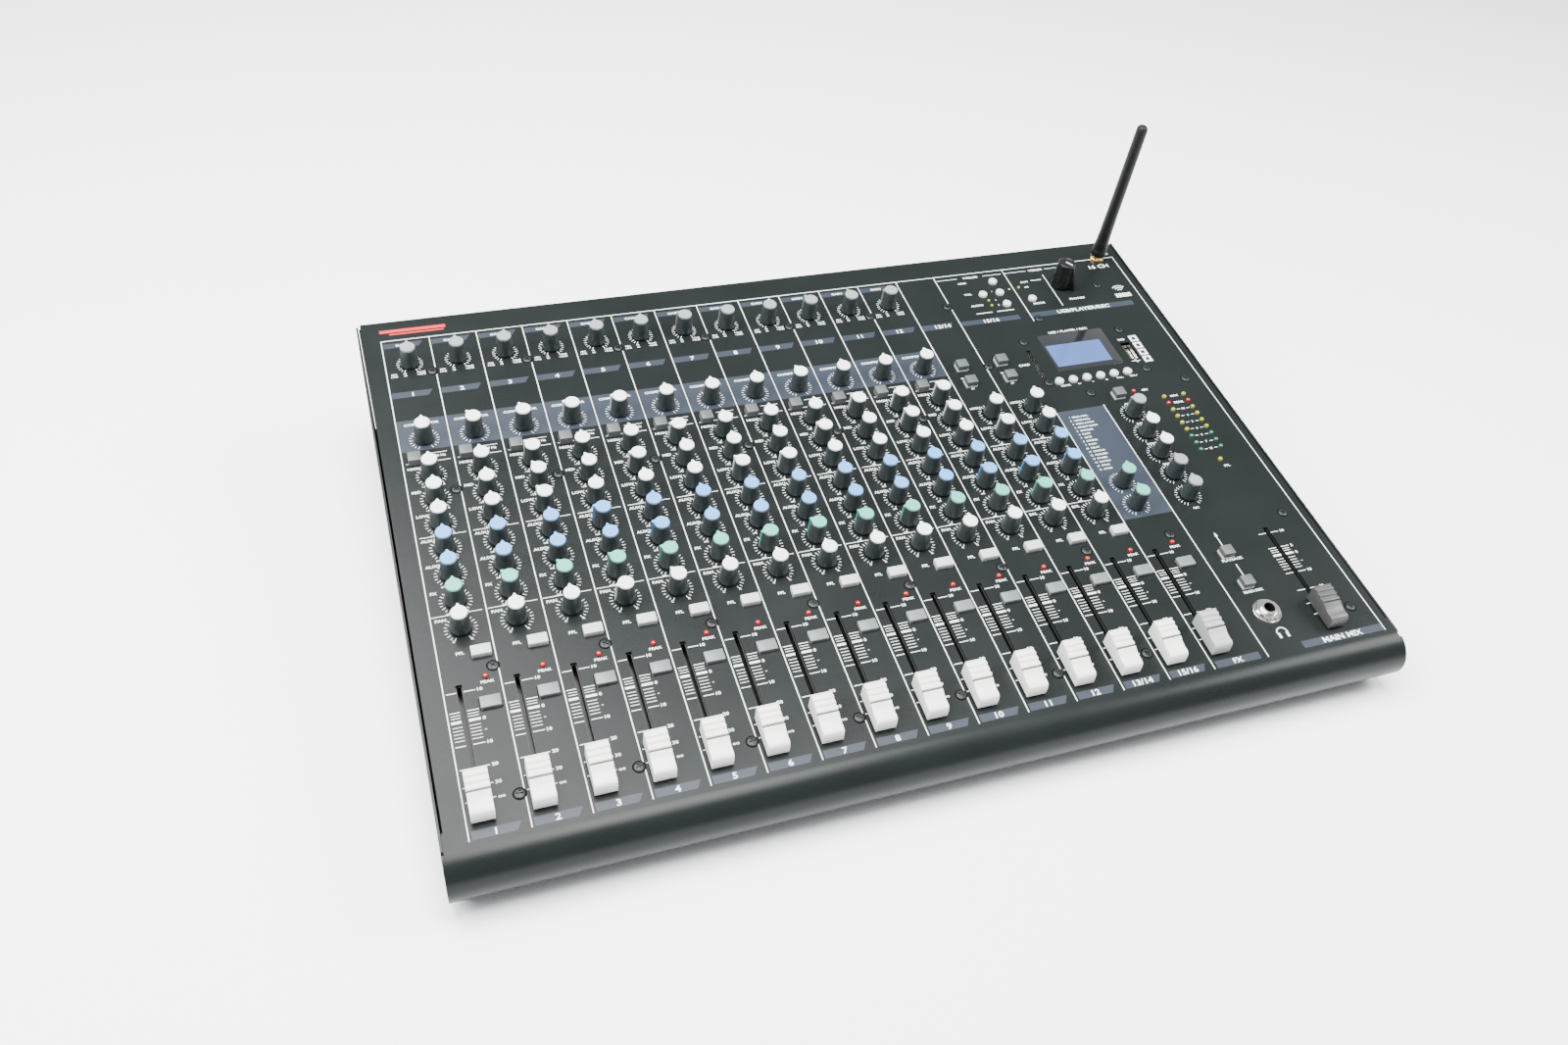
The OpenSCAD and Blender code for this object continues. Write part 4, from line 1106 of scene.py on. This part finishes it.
for legend in (
    ("PEAK", EFFECTS_STRIP * PITCH + 21.5, 255.9, 1.5, "centre", 1.3),
    ("WIRELESS", 390.1, 4.2, 1.7, "centre", 1.05), ("WIRELESS", 440.5, 4.2, 1.7, "centre", 1.0),
    ("LINK", 379, 9.4, 1.6, "left"), ("VOL", 378.6, 21.2, 1.6, "left"),
    ("AUDIO", 378.6, 33.2, 1.6, "left"), ("-", 399.6, 20.9, 1.6), ("+", 413, 20.7, 1.8),
    ("OUT", 424, 15.3, 1.6, "left"), ("IN", 425, 20.6, 1.6, "left"),
    ("MODE", 428, 38.2, 1.6, "centre", 1.3), ("VOL", 446, 22.8, 1.6, "left"),
    ("PHONES", 457.5, 38, 1.7, "centre", 1.25), ("ANT", 500.6, -4, 1.6),
    ("USB / PLAYER / REC", 435.2, 68.2, 1.8, "centre", 1.3),
    ("USB", 468.2, 83.6, 1.7, "centre", 1.2), ("CARD", 390.4, 94.6, 1.8, "centre", 1.1),
    ("48V", 460.6, 131.6, 1.7, "centre", 1.2), ("PLAYBACK", 442.8, 272.5, 1.7, "centre", 1.15),
    ("MAIN MIX", 442.8, 296.0, 1.7, "centre", 1.15), ("MAX", 477.8, 140.5, 1.5),
    ("PEAK", 478.0, 146.5, 1.6, "centre", 1.3), ("PFL", 480.3, 204.2, 1.6),
):
    write(letters, *legend)
for legend in (
    ("13/14", 351.5, 48.8, 3.0), ("15/16", 387, 49.1, 3.0),
    ("USB/PLAYER/REC", 457, 49.0, 2.9, "centre", 1.28), ("FX", 408, 336.3, 2.9),
    ("MAIN MIX", 477, 336.3, 3.2, "centre", 1.25), ("16 CH", 489.5, 8.2, 3.4, "centre", 1.25),
):
    write(numbers, *legend)
write(tiny_print, "1", 398.6, 29.8, 1.3)
write(tiny_print, "2", 398.6, 35, 1.3)
for k, label in enumerate(("10", "6", "3", "0", "3", "7", "15"), 2):
    write(tiny_print, label, 477.8, METER_TOP + METER_STEP * k, 1.5)
for k, label in enumerate(("MODE", "1<", ">", "O", "VOL-", "VOL+")):
    write(tiny_print, label, 409.7 + 10.0 * k, 117.7, 1.3)
for k, label in enumerate(("FX", "AUX", "PHONES", "MAIN", "REC")):
    write(tiny_print, label, MASTER_X, rows[2 + k] + (10.1 if k == 4 else -8.9), 1.25)
programmes = ("SMALL HALL", "LARGE HALL", "SMALL ROOM", "BRIGHT ROOM", "CHAMBER", "PLATE", "GATE", "REVERSE",
              "ECHO", "DELAY", "CHORUS", "FLANGER", "PHASER", "ROTARY", "PITCH", "FILTER")
for k, label in enumerate(programmes):
    write(tiny_print, str(k + 1), 398.6, 145.6 + 3.0 * k, 1.2, "right", 1.1)
    write(tiny_print, label, 400.2, 145.6 + 3.0 * k, 1.2, "left", 1.15)
for name, form in (("strip_letters", letters), ("strip_numbers", numbers), ("small_print", tiny_print)):
    made = form.build(name, [INK])
    print(name, len(made.data.polygons), "faces")

# %% [markdown]
# ## The rear
# The sockets keep the shapes of the frame. What a stagehand would notice is added: latch keys and
# fixing screws at the microphone sockets, colour rings on the phono sockets, and a line of white
# numbers.

# %% Rear fittings
MIC_Z = 61
head = screw_head(2.7, 1.3)
lip_z = panel_high.z / MM - 4.65
spots = [((x + 0.5) * CASE_WIDE - SIDE_MARGIN, lip_z, 20) for x in (-0.46, -0.23, 0, 0.23, 0.46)]
lip = REAR @ Matrix.Translation((0, 0, SHEET * MM))
rear_heads = repeat("rear_lip_screws", head, spots, BLACK, "console", lip)
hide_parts("case_screws")
under = Matrix.Translation((0, panel_low.y + 23 * MM, 6.3 * MM)) @ Matrix.Rotation(pi, 4, "X")
spots = [(x * CASE_WIDE, 0, 10) for x in (-0.4, -0.15, 0.15, 0.4)]
repeat("nose_lip_screws", head, spots, BLACK, "console", under)
scrap(head)
pins, latches, rings, whites = Form(), Form(), Form(), Form()
for i in range(STRIPS):
    x = i * PITCH + KNOB_X
    latches.block((7, 3.2), 1.5, 2.3, behind(x, MIC_Z + 12.9))
    for side in (-1, 1):
        pins.spun([(0, 1.4), (1.8, 1.4), (1.7, 1.95), (1.1, 2.2), (0, 2.25)], 16,
                  behind(x + side * 10.4, MIC_Z + side * 12.9))
for x in (464, 479):
    for z, form in ((53, whites), (69, rings)):
        form.spun([(4.2, 1.1), (5.8, 1.1), (5.8, 1.9), (4.2, 1.9)], 28, behind(x, z), ring=True)
pins.build("socket_screws", [BLACK])
latches.build("socket_latches", [STEEL], bevel=0.3)
rings.build("phono_red_rings", [RED_RING])
whites.build("phono_white_rings", [WHITE_RING])
rear_print = Form()


def write_rear(text, x, z, high):
    flip = behind(x, z, 0.0) @ Matrix.Rotation(pi, 4, "Z")
    write(rear_print, text, 0, 0, high, place=flip)


for i in range(STRIPS):
    write_rear(str(i + 1), i * PITCH + KNOB_X, 42.6, 2.6)
for i, label in enumerate(("13", "15", "AUX", "FX")):
    write_rear(label, (STRIPS + i) * PITCH + KNOB_X, 38.5, 2.4)
for label, x, z in (("L", 406, 80), ("R", 434, 80), ("REC", 464, 43), ("PLAY", 479, 43),
                    ("POWER", 498, 47.6)):
    write_rear(label, x, z, 2.2)
rear_print.build("rear_print", [INK])
print("rear fittings")
